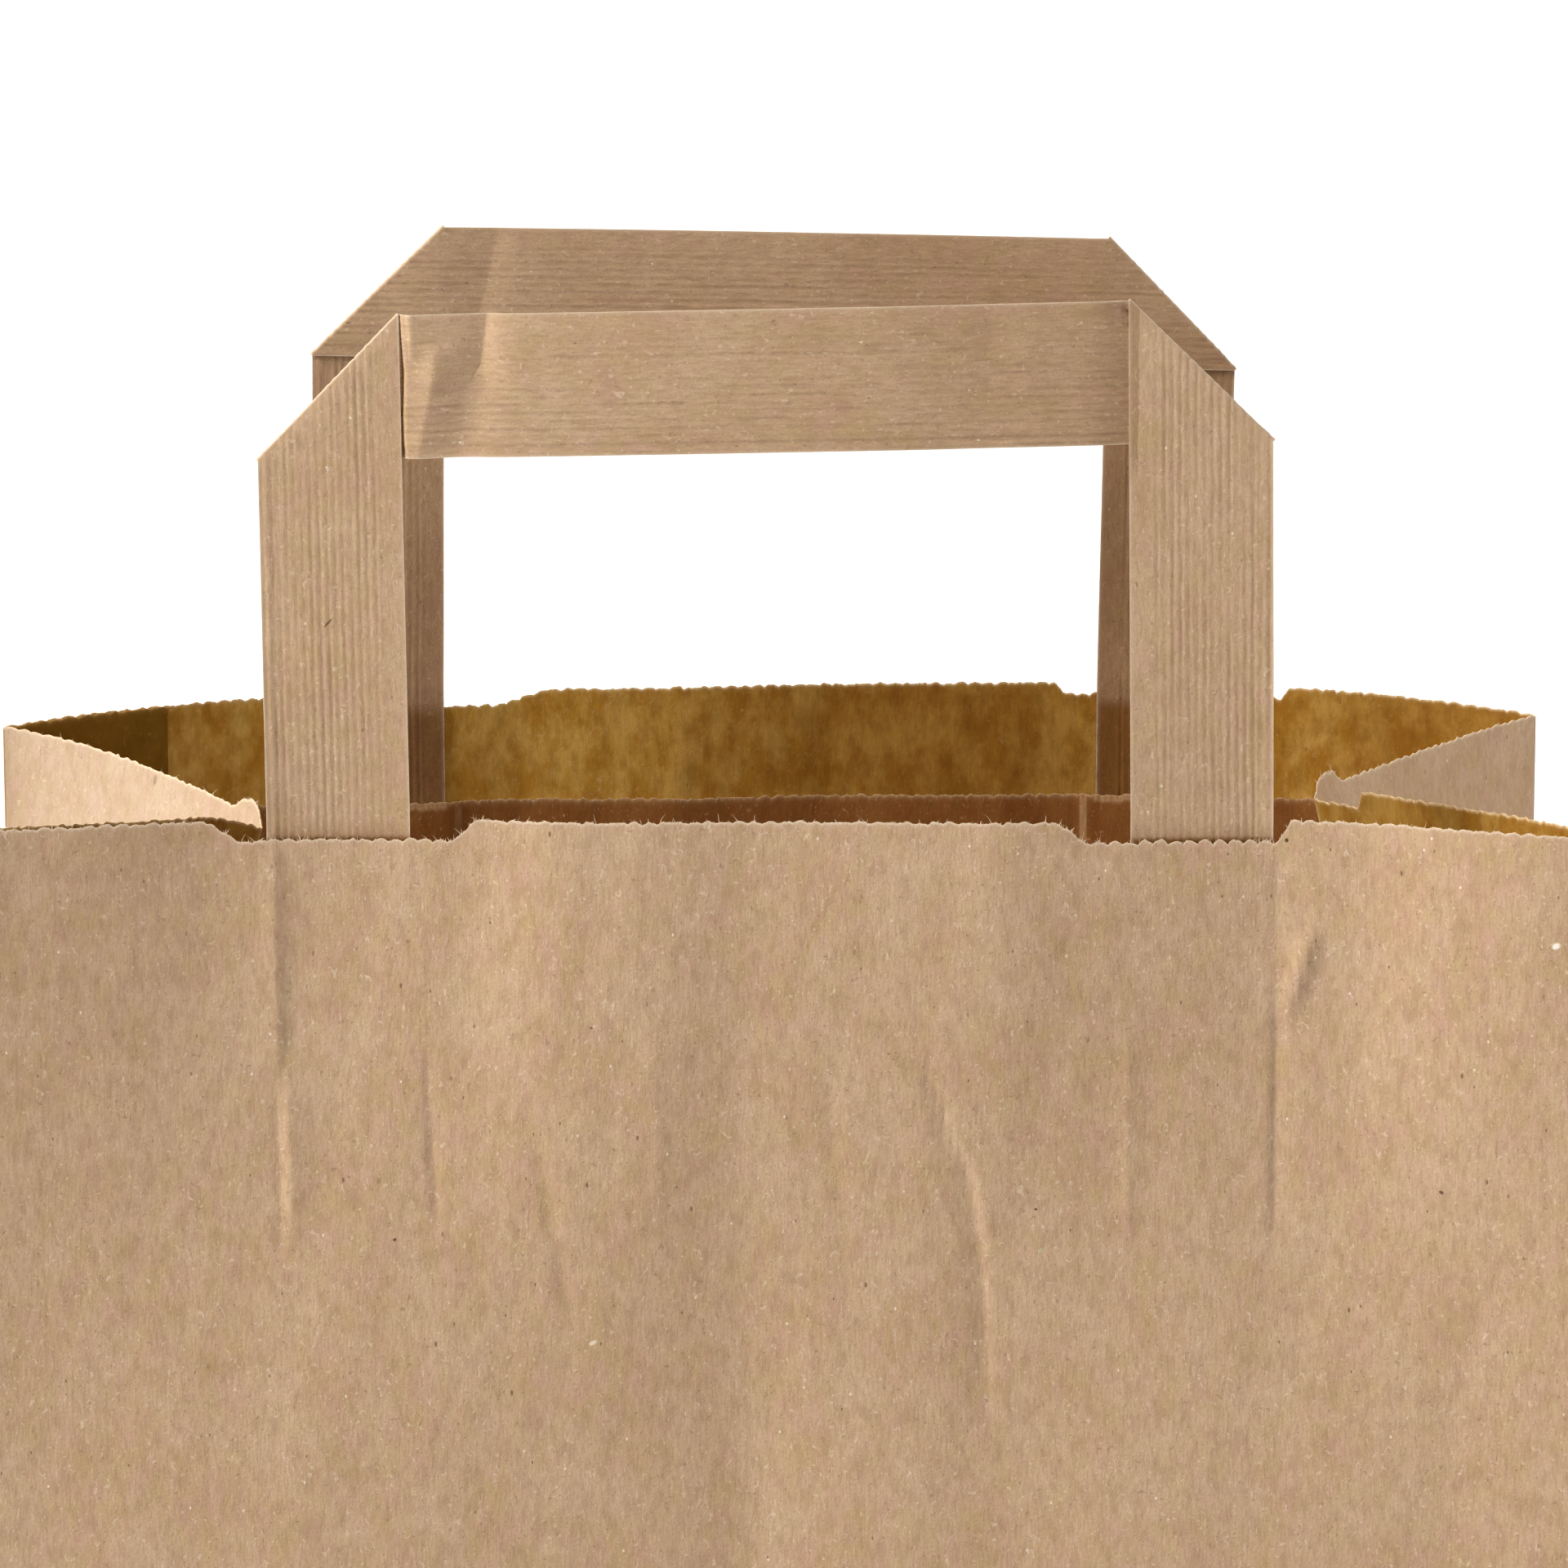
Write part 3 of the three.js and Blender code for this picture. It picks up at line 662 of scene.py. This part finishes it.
tapeLook = dict(
    warm=srgb(198, 160, 132), cool=srgb(192, 161, 120), light=srgb(205, 174, 140),
    dark=srgb(156, 120, 88), pale=srgb(236, 214, 186), shade=srgb(104, 76, 50),
    white=srgb(240, 222, 198), glow=srgb(162, 130, 71),
    cloudSize=14, cloud=0.6, mottle=0.25, grain=0.45, fibre=0.35, fleck=0.55, valley=0.30,
    roughness=0.84, gloss=0.25, relief=0.35,
)
tapeLook["marks"] = [
    ((209.0, 100.7), (0.28, 1.4), -0.75, 0.8, srgb(96, 66, 42)),  # dark fibre on the left front leg
]
outerKraft = kraftMaterial("outerKraft", outerLook)
foldedKraft = kraftMaterial("foldedKraft", foldedLook)  # the right gusset
litKraft = kraftMaterial("litKraft", litLook)  # the left gusset, which the light behind it pales
innerKraft = kraftMaterial("innerKraft", innerLook)
seamKraft = kraftMaterial("seamKraft", seamLook)
patchKraft = kraftMaterial("patchKraft", patchLook)
tapeKraft = kraftMaterial("tapeKraft", tapeLook)
fibrePaper = plainMaterial("fibrePaper", srgb(226, 200, 168))

print("walls")

wallRows = dict(low=11, high=29, middle=150)  # fewer below the middle, where the paper is smooth
foldWear = 0.4  # width of the worn line along a corner fold


def wallPiece(name, wall, direction, seed, start):
    # direction 1 runs left to right, -1 right to left, so that the outside faces out
    count = round(sheet["width"] / saw["pitch"]) * saw["samples"]
    t = np.linspace(0, 1, count + 1)
    s = direction * (2 * t - 1)
    cut = wallCut(wall, t, direction, seed)
    lower = np.linspace(0, wallRows["middle"], wallRows["low"] + 1)[:-1]
    upper = np.linspace(wallRows["middle"], bandFoot, wallRows["high"] + 1)[:-1]
    heights = rowHeights(np.concatenate([lower, upper]), cut)
    outer = wallPoint(wall, s, heights)
    edge = np.exp(-(cut - heights) / saw["wear"])
    edge = np.maximum(edge, 0.35 * np.exp(-(1 - np.abs(s)) * half / foldWear))
    through = np.interp(s * half, *wall["through"]) + 0.05 * waves(s * half, seed, 20)
    slab(name, outer, sheet["ply"], sheetPlace(t * sheet["width"] + start, heights),
         [outerKraft, innerKraft], "kraft_paper", ["bag_body"],
         cutEdge=edge, through=np.clip(through, 0, 1))


wallPiece("frontWall", frontWall, 1, seed=5, start=0)
wallPiece("backWall", backWall, -1, seed=29, start=400)

gussetGrid = dict(lowRows=40, highRows=30, columns=240)


def gussetPiece(name, side, seed, start, outside, frontThrough):
    # q runs along the outside, front to back on the right and back to front on the left
    t = np.linspace(0, 1, gussetGrid["columns"] + 1)
    q = side * (2 * t - 1)
    cut = gussetCut(side, t, seed)
    lower = np.linspace(0, arm, gussetGrid["lowRows"] + 1)
    upper = np.linspace(arm, bandFoot, gussetGrid["highRows"] + 1)[1:-1]
    heights = rowHeights(np.concatenate([lower, upper]), cut)
    outer = gussetPoint(side, np.broadcast_to(q, heights.shape), heights)
    # a slow swell, nothing at the folds, the crease and the bottom
    hold = (1 - np.abs(q) ** 6) * np.abs(q) ** 0.5 * smooth(heights, 0, 30)
    across = t * sheet["gusset"]
    swell = 0.35 * waves(across + 0.1 * heights, seed, 26) + 0.2 * waves(heights, seed + 4, 30)
    outer += gridNormal(outer) * (hold * swell)[..., None]
    # worn pale lines: the cut, the crease in the middle, the two slanting ones and the corner folds
    toFold = (1 - np.abs(q)) * arm
    edge = np.exp(-(cut - heights) / saw["wear"])
    crease = 0.5 * np.exp(-np.abs(q) * arm / 0.5) * smooth(heights, arm, arm + 10)
    slant = 0.3 * np.exp(-np.abs(heights - toFold) / 0.9) * smooth(heights, 0, 8)
    fold = 0.35 * np.exp(-toFold / foldWear)
    edge = np.maximum(np.maximum(edge, crease), np.maximum(slant, fold))
    slab(name, outer, sheet["ply"], sheetPlace(across + start, heights),
         [outside, innerKraft], "kraft_paper", ["bag_body"],
         cutEdge=edge, through=frontThrough * smooth(-q, -0.2, 0.2) + 0.20)


gussetPiece("rightGusset", 1, 61, start=1000, outside=foldedKraft, frontThrough=0.40)
gussetPiece("leftGusset", -1, 83, start=600, outside=litKraft, frontThrough=0.60)

print("seam and bottom")

lapSeam = dict(width=33.0, start=2.0, foot=1.0, rows=40, drop=0.2, glue=0.05, wear=0.35)


def seamPiece():
    # a second ply inside the back wall, from the left fold to its straight glued edge
    teeth = round(lapSeam["width"] / saw["pitch"]) * saw["samples"]
    across = np.linspace(lapSeam["start"], lapSeam["width"], teeth + 1)
    cut = sheet["height"] - lapSeam["drop"] + sawEdge(lapSeam["width"], across, 17)
    heights = rowHeights(np.linspace(lapSeam["foot"], bandFoot, lapSeam["rows"] + 1)[:-1], cut)
    face = wallPoint(backWall, across / half - 1, heights)
    # the normal points to the inside, because the grid runs the other way round here
    outer = face + gridNormal(face) * (2 * sheet["ply"] + lapSeam["glue"])
    edge = np.exp(-(cut - heights) / lapSeam["wear"])
    # its material holds painted shade, where the two plies let less light through
    slab("lapSeam", outer, sheet["ply"], sheetPlace(across + 1300, heights),
         [seamKraft], "kraft_paper", ["bag_body"], cutEdge=edge)


seamPiece()

bottom = dict(overlap=15.0, inset=0.3, columns=80, rows=24)  # the flaps overlap past the middle


def bottomPiece(name, low, place, start):
    # a flat ply of the bottom: place(u, v) gives x and y, u from end to end and v from edge to edge
    u, v = np.meshgrid(np.linspace(-1, 1, bottom["columns"] + 1), np.linspace(0, 1, bottom["rows"] + 1))
    x, y = place(u, v)
    flat = np.stack([x, y, np.full_like(x, low)], axis=-1)
    if gridNormal(flat)[1, 1, 2] > 0:
        flat = flat[:, ::-1]
    slab(name, flat, sheet["ply"], flat[..., :2] + start,
         [outerKraft, innerKraft], "kraft_paper", ["bag_body"], cutEdge=0.0)


def flapPlace(side):
    # a trapezium from the bottom's edge, with ends at 45 degrees
    end, rim = half - bottom["inset"], arm - bottom["inset"]
    run = rim + bottom["overlap"]
    return lambda u, v: (u * (end - run * v), side * (rim - run * v))


bottomPiece("floorPly", floorRise, lambda u, v: (u * half, (2 * v - 1) * arm), 2100)
bottomPiece("rearFlap", sheet["ply"], flapPlace(1), 2500)
bottomPiece("frontFlap", 0.0, flapPlace(-1), 2900)

print("handles")

# Creases are given as those of the walls. The gap between the left leg and the strip is its width
# by height above the mouth.
handles = dict(
    front=dict(wall=frontWall, rise=95.1, tilt=0.0205, lean=-1.2, bow=1.6, seed=3, start=210),
    back=dict(wall=backWall, rise=93.6, tilt=-0.0245, lean=1.2, bow=2.0, seed=8, start=510),
)
handles["front"]["gap"] = ((64, 68, 75, 83, 90, 95), (0.60, 0.60, 0.45, 0.80, 0.30, 0.12))
handles["front"]["creases"] = [
    (-51.7, 368, -53.5, 353, -1.5, 5.5, 2.8),
    (-53.5, 355, -57.0, 337, -1.2, 4.8, 3.8),
    (-61.7, 358, -62.1, 351, 0.95, 3.0, 4.0),
    (-62.1, 353, -65.0, 337, 0.75, 2.4, 3.0),
    (-66.8, 368, -65.8, 357, 0.80, 0.6, 3.6),
    (65.0, 367.5, 67.2, 362, -1.10, 0.8, 0.7),
    (20, 372, 24, 336, 0.35, 14, 14),
    (40, 366, 42, 340, -0.3, 7, 6),
]
handles["back"]["creases"] = [
    (-55, 367, -58, 352, -0.60, 6.0, 3.5),
    (-58, 353, -62, 338, -0.50, 5.0, 3.0),
    (10, 370, 14, 336, 0.3, 12, 12),
]
# How far the front strip stands before the legs, and where it tucks in behind the right one
ahead = dict(by=0.75, within=0.5, tuckFrom=60, tuckTo=67.5)


def tapeLine(stage, b, rise):
    # the tape along its own length: 0 to 1 left leg, 1 to 2 its fold, 2 to 3 the strip, then the
    # right fold and leg. b runs across the tape, from the outer edge of the legs to the inner one.
    right = stage > 2.5
    start = np.where(right, 5 - stage, stage)
    radius = (tape["thickness"] + tape["gap"]) / 2
    foldX = b - tape["spacing"] / 2
    foldZ = mouth + rise - tape["width"] / 2 + b
    foot = mouth - tape["tuck"]
    turn = np.pi * np.clip(start - 1, 0, 1)
    out = radius * np.sin(turn) * math.sqrt(0.5)
    x = np.where(start <= 1, foldX, np.where(start < 2, foldX - out, foldX * (1 - 2 * (start - 2))))
    z = np.where(start <= 1, foot + (foldZ - foot) * start, np.where(start < 2, foldZ + out, foldZ))
    layer = radius * (1 - np.cos(turn))
    return np.where(right, -x, x), z, layer


def pastGap(handle, x, z):
    # how far x lies to the right of the narrow gap that the left leg leaves beside the strip
    legEdge = (tape["width"] - tape["spacing"]) / 2 + handle["lean"] * (z - mouth) / handle["rise"]
    return x - legEdge - np.interp(z - mouth, *handle["gap"])


def handlePoint(handle, stage, b):
    # the folded tape, set on the wall's inside up to the mouth and from there going over to a plane
    # through both legs, which leans in. The strip bows forward by one minus a square.
    wall = handle["wall"]
    depth = sheet["ply"] + tape["seat"] + tape["thickness"] / 2
    legs = np.array([-0.5, 0.5]) * tape["spacing"]
    ends = insideWall(wall, legs, np.full(2, mouth), depth)
    x, z, layer = tapeLine(stage, b, handle["rise"])
    share = np.maximum(0, z - mouth) / handle["rise"]
    px = x + handle["lean"] * share
    pz = z + handle["tilt"] * x * smooth(share, 0, 0.7)
    onWall = insideWall(wall, px, np.minimum(pz, mouth), depth)
    inPlane = ends[0] + (ends[1] - ends[0]) * (px - legs[0]) / tape["spacing"]
    inPlane = inPlane + wall["inward"] * tape["leanIn"] * share
    free = smooth(z - mouth, tape["bendStart"], tape["bendEnd"])
    strip = (stage > 2) & (stage < 3)
    bow = handle["bow"] * strip * np.maximum(0, 1 - (2 * px / (tape["spacing"] - tape["width"])) ** 2)
    forward = 0
    if "gap" in handle:
        past = smooth(pastGap(handle, px, pz), 0, ahead["within"])
        forward = ahead["by"] * strip * past * (1 - smooth(px, ahead["tuckFrom"], ahead["tuckTo"]))
    y = onWall + (inPlane - onWall) * free + wall["inward"] * layer - wall["inward"] * bow - forward
    return np.stack([px, y, pz], axis=-1)


def ribs(length, b, seed, strip):
    # rounded ribs with narrow valleys, each fading in and out along its length and lower on the
    # strip, none on the smooth margin beside the inner edge. A ply edge is a low step near the
    # outer one. Gives the height and how deep in a valley each point lies, exp(-d^2) across it.
    slow = 0.14 * waves(length, seed, 50, 2)
    quick = 0.10 * waves(length + 31 * np.round(b), seed + 2, 12, 1)
    turn = (b + (slow + quick)) / tape["ribPitch"]
    profile = (0.5 + 0.5 * np.cos(2 * np.pi * turn)) ** 0.7 - 0.5
    number = np.round(turn + 0.5)
    strength = 0.80 + 0.60 * waves(length + 211 * number, seed + 5, 26, 2)
    margin = 1 - smooth(b, *tape["margin"])
    stepPlace = tape["plyEdge"] - tape["width"] / 2
    step = tape["plyStep"] * smooth(b, stepPlace - 0.25, stepPlace + 0.25)
    height = tape["ribDepth"] * np.clip(strength, 0.15, 1.5) * profile * margin * (1 - 0.55 * strip)
    away = (turn + 0.5 - number) * tape["ribPitch"]
    # valley holds painted shade in the narrow valleys between ribs and along the ply step
    valley = np.clip(strength - 0.25, 0, 1.2) * np.exp(-(away / 0.24) ** 2) * margin
    valley = np.maximum(valley, 0.9 * np.exp(-((b - stepPlace) / 0.22) ** 2) * (1 - strip))
    return height - step + 0.02 * waves(length, seed, 5), valley


# How much less light the handles get, from 0 to 1, and how much that grows from left to right
shades = dict(
    low=0.5, strip=0.22, stripEnd=0.16,
    backStrip=(0.10, 0.22), backLeg=(0.41, 0.20), backLow=(0.88, 0.12),
)


def shadeOf(handle, points, normal):
    # legs get less light towards and below the mouth, the front strip towards its right end and in
    # its gap, and the back handle where its paper is turned to the front, away from the light behind
    # it. One value for each skin.
    x, z = points[..., 0], points[..., 2] - mouth
    low = smooth(z, 1, -7)
    right = smooth(x, -60, 70)
    toFront = normal[..., 1] < 0
    if handle is handles["front"]:
        onStrip = smooth(z, 62, 68) * (np.abs(x) < 68)
        inGap = 1 - smooth(pastGap(handle, x, points[..., 2]), 0, 0.25)
        behindTeeth = smooth(z, -3.2, -4.4)
        towardsEnd = shades["strip"] * right + shades["stripEnd"] * smooth(x, 56, 66)
        dim = np.maximum(shades["low"] * low, onStrip * np.maximum(towardsEnd, inGap))
        return np.maximum(dim, behindTeeth * toFront), np.maximum(dim, behindTeeth * (1 - toFront))
    strip, leg, deep = (
        shades[place][0] + shades[place][1] * right for place in ("backStrip", "backLeg", "backLow")
    )
    high = strip + (leg - strip) * smooth(z, 78, 60)
    base = np.maximum(high, low * deep)
    return base * toFront, base * (1 - toFront)


def bends(handle, points):
    # the creases, on the strip only
    held = smooth(points[..., 2], mouth + 50, mouth + 66)
    return ridges(handle, points[..., 0], points[..., 2]) * held


# Rows of a handle from stage to stage of tapeLine: close where a leg passes the mouth and where the
# strip starts. The right leg repeats those of the left one.
legRows = ((0, 0.37, 12), (0.37, 0.50, 34), (0.50, 1, 23))
restRows = ((1, 2, 8), (2, 2.16, 90), (2.16, 3, 60), (3, 4, 8))
tapeColumns = 126


def rowsOf(parts):
    # even rows from low to high for each part, each without its first
    return np.concatenate([np.linspace(low, high, count + 1)[1:] for low, high, count in parts])


def handlePiece(name, nodeName, handle):
    # the middle face of the folded tape, with creases and ribs, and the thickness around it
    leg = np.concatenate([[0], rowsOf(legRows)])
    stages = np.concatenate([leg, rowsOf(restRows), 5 - leg[-2::-1]])
    across = np.linspace(-0.5, 0.5, tapeColumns + 1) * tape["width"]
    stage, b = np.meshgrid(stages, across, indexing="ij")
    middle = handlePoint(handle, stage, b)
    steps = np.linalg.norm(np.diff(middle, axis=0), axis=-1)
    length = np.concatenate([np.zeros((1, steps.shape[1])), np.cumsum(steps, axis=0)])
    normal = gridNormal(middle)
    strip = smooth(stage, 2.0, 2.02) * (1 - smooth(stage, 2.98, 3.0))
    middle[..., 1] -= bends(handle, middle) * strip
    height, valley = ribs(length, b, handle["seed"], strip)
    middle = middle + normal * height[..., None]
    outer = middle + normal * tape["thickness"] / 2
    # pale lines along the cut edges and the two folds: paler paper, and a painted highlight where the
    # light catches them
    edge = np.exp(-(tape["width"] / 2 - np.abs(b)) / 0.25) * 0.6
    for fold in (1.5, 3.5):
        edge = np.maximum(edge, 0.95 * np.exp(-((stage - fold) / 0.28) ** 2))
    slab(name, outer, tape["thickness"], sheetPlace(b + handle["start"], length),
         [tapeKraft], "ribbed_tape", [nodeName],
         cutEdge=edge, through=shadeOf(handle, middle, normal), valley=valley)


handlePiece("frontHandle", "front_handle", handles["front"])
handlePiece("backHandle", "back_handle", handles["back"])

print("patches")

patch = dict(width=236.0, height=50.0, drop=24.0, ply=0.15, ramp=5.0, rows=12, lip=1.7)
lastRows = [0.96, 0.97, 0.978, 0.986, 0.993, 1]  # under the teeth, as shares of the height


def patchPiece(name, nodeName, wall, seed, start):
    # a rectangle glued on the wall that climbs over both legs by short ramps
    count = round(patch["width"] / saw["pitch"]) * saw["samples"]
    t = np.linspace(0, 1, count + 1)
    x = (t - 0.5) * patch["width"]
    low = sheet["ply"] + tape["seat"] + patch["ply"] / 2
    high = low + tape["thickness"] + tape["seat"]
    legEdge = (tape["width"] + tape["seat"]) / 2
    fromLeg = np.abs(np.abs(x) - tape["spacing"] / 2)
    climb = 1 - smooth(fromLeg, legEdge, legEdge + patch["ramp"])
    top = mouth - patch["drop"] + sawEdge(patch["width"], t * patch["width"], seed)
    share = np.concatenate([np.linspace(0, 0.95, patch["rows"]), lastRows])
    foot = mouth - patch["drop"] - patch["height"]
    z = foot + np.outer(share, top - foot)
    y = insideWall(wall, x, z, low + (high - low) * climb)
    middle = np.stack(np.broadcast_arrays(x, y, z), axis=-1)
    outer = middle + gridNormal(middle) * patch["ply"] / 2
    edge = np.exp(-(top - z) / 0.4)
    # painted highlight along the top lip where the patch lies over a leg
    edge = np.maximum(edge, 0.6 * (climb > 0.98) * smooth(top - z, patch["lip"], patch["lip"] - 0.5))
    # paler where it climbs over a leg, more so on the right: painted highlight on the ramps
    edge = np.maximum(edge, np.where(x > 0, 0.45, 0.2) * (climb > 0.25) * (climb < 0.75))
    slab(name, outer, patch["ply"], sheetPlace(x + start, z), [patchKraft], "patch_paper", [nodeName],
         cutEdge=edge)


patchPiece("frontPatch", "front_patch", frontWall, seed=91, start=3600)
patchPiece("backPatch", "back_patch", backWall, seed=97, start=4000)

print("fibres")

fibre = dict(rings=5, bend=(0.1, 0.7), radius=(0.045, 0.085), taper=0.85, sunk=0.08, shortest=0.15)


def fibrePiece(name, roots, aims, lengths, seed):
    # torn fibres: thin cones of three sides, each bent to one side by the square of the way along it
    rng = np.random.default_rng(seed)
    count, rings = len(roots), fibre["rings"]
    t = np.linspace(0, 1, rings)[None, :, None]
    aims = aims / np.linalg.norm(aims, axis=1, keepdims=True)
    side = np.cross(aims, rng.normal(size=(count, 3)))
    side /= np.linalg.norm(side, axis=1, keepdims=True)
    third = np.cross(aims, side)
    bend = rng.uniform(*fibre["bend"], (count, 1, 1))
    line = roots[:, None] + lengths[:, None, None] * (aims[:, None] * t + side[:, None] * bend * t ** 2)
    radius = rng.uniform(*fibre["radius"], (count, 1, 1)) * (1 - fibre["taper"] * t)
    angle = np.arange(3) * 2 * np.pi / 3
    ring = side[:, None] * np.cos(angle)[None, :, None] + third[:, None] * np.sin(angle)[None, :, None]
    points = (line[:, :, None] + radius[..., None] * ring[:, None]).reshape(-1, 3)
    index = np.arange(count * rings * 3).reshape(count, rings, 3)
    low, high = index[:, :-1], index[:, 1:]
    lowNext, highNext = np.roll(low, -1, axis=2), np.roll(high, -1, axis=2)
    faces = np.concatenate([
        np.stack([low, lowNext, highNext], axis=-1).reshape(-1, 3),
        np.stack([low, highNext, high], axis=-1).reshape(-1, 3),
        index[:, 0, ::-1],
        index[:, -1],
    ])
    meshPiece(name, points, faces, [fibrePaper], "kraft_paper", ["bag_body"], sharp=80)


def scatter(rng, count, clusters, low, high):
    # places along an edge: an even share, and the rest gathered round the clusters
    even = rng.uniform(low, high, count)
    near = rng.choice(clusters, count) + rng.normal(0, 2.2, count)
    return np.clip(np.where(rng.uniform(size=count) < 0.6, even, near), low, high)


def growth(rng, count, alongEdge, acrossEdge, usual, longest):
    # upward aims that lean at random, and lengths of which few are long
    aims = [rng.normal(0, alongEdge, count), rng.normal(0, acrossEdge, count), np.ones(count)]
    lengths = np.clip(rng.exponential(usual, count), fibre["shortest"], longest)
    return np.stack(aims, axis=-1), lengths


def rimFibres(name, wall, direction, cutSeed, count, seed):
    rng = np.random.default_rng(seed)
    s = scatter(rng, count, notchEnds, 2 - half, half - 2) / half
    h = wallCut(wall, (s * direction + 1) / 2, direction, cutSeed) - fibre["sunk"]
    roots = wallPoint(wall, s, h)
    roots[:, 1] += wall["inward"] * sheet["ply"] / 2
    fibrePiece(name, roots, *growth(rng, count, 0.7, 0.35, 0.44, 1.9), seed)


def gussetFibres(name, side, cutSeed, count, seed):
    rng = np.random.default_rng(seed)
    q = scatter(rng, count, gussetTips, 1 - arm, arm - 1) / arm
    roots = gussetPoint(side, q, gussetCut(side, (q * side + 1) / 2, cutSeed) - fibre["sunk"])
    fibrePiece(name, roots, *growth(rng, count, 0.6, 0.5, 0.4, 1.6), seed)


notchEnds = [-99, -94, -60, -56, 58, 62, 94, 98]  # where fibres gather, in mm along the edge
gussetTips = [-4.0, 0.0, 4.0, 8.0]
rimFibres("frontRimFibres", frontWall, 1, cutSeed=5, count=620, seed=131)
rimFibres("backRimFibres", backWall, -1, cutSeed=29, count=160, seed=137)
gussetFibres("rightGussetFibres", 1, cutSeed=61, count=110, seed=141)
gussetFibres("leftGussetFibres", -1, cutSeed=83, count=130, seed=149)

print("stage, lights and camera")

# In metres: the floor runs back to turn, and a quarter circle joins it to the wall
studio = dict(
    width=8.0, front=-3.0, turn=2.2, radius=1.2, height=4.0,
    drop=-0.0002,  # just under the bag
    grey=0.6, air=0.485,
)


def sweep():
    # floor from the front, a quarter circle, and a wall behind
    angle = np.linspace(0, np.pi / 2, 25)
    curve = studio["turn"] + studio["radius"] * np.sin(angle)
    rise = studio["radius"] * (1 - np.cos(angle))
    y = np.concatenate([[studio["front"]], curve, [studio["turn"] + studio["radius"]]])
    z = np.concatenate([[0], rise, [studio["height"]]]) + studio["drop"]
    x = np.array([-0.5, 0.5]) * studio["width"]
    points = np.stack([np.repeat(x, len(y)), np.tile(y, 2), np.tile(z, 2)], axis=-1)
    index = np.arange(len(y) - 1)
    faces = np.stack([index, index + len(y), index + len(y) + 1, index + 1], axis=-1)
    mesh = bpy.data.meshes.new("studioFloor")
    mesh.from_pydata(points.tolist(), [], faces.tolist())
    mesh.shade_smooth()
    mesh.materials.append(plainMaterial("paleFloor", (*[studio["grey"]] * 3, 1)))
    floor = bpy.data.objects.new("studioFloor", mesh)
    bpy.context.collection.objects.link(floor)


def areaLight(name, place, target, size, power):
    lamp = bpy.data.lights.new(name, "AREA")
    lamp.shape = "DISK"
    lamp.size = size
    lamp.energy = power
    light = bpy.data.objects.new(name, lamp)
    light.location = place
    light.rotation_euler = (Vector(target) - Vector(place)).to_track_quat("-Z", "Y").to_euler()
    bpy.context.collection.objects.link(light)


sweep()
areaLight("keyLight", place=(-1.55, -0.52, 1.4), target=(0, 0, 0.25), size=0.8, power=51)
areaLight("fillLight", place=(2.2, -0.4, 0.9), target=(0, 0, 0.25), size=1.0, power=12)
areaLight("backdropLight", place=(0, 1.6, 2.2), target=(0, 2.8, 0.6), size=2.0, power=84)

world = bpy.data.worlds.new("studioAir")
world.use_nodes = True
world.node_tree.nodes["Background"].inputs["Color"].default_value = (1, 1, 1, 1)
world.node_tree.nodes["Background"].inputs["Strength"].default_value = studio["air"]
bpy.context.scene.world = world
bpy.context.scene.view_settings.view_transform = "Standard"

photo = dict(size=1920, focal=8547.0, place=(0.0026, -1.345, 0.529), pitch=-11.2, sensor=36.0)
camera = bpy.data.cameras.new("photoCamera")
camera.sensor_width = photo["sensor"]
camera.lens = photo["focal"] / photo["size"] * photo["sensor"]
camera.clip_start = 0.01
cameraObject = bpy.data.objects.new("photoCamera", camera)
cameraObject.location = photo["place"]
cameraObject.rotation_euler = (math.radians(90 + photo["pitch"]), 0, 0)
bpy.context.collection.objects.link(cameraObject)
bpy.context.scene.camera = cameraObject

bpy.context.view_layer.update()
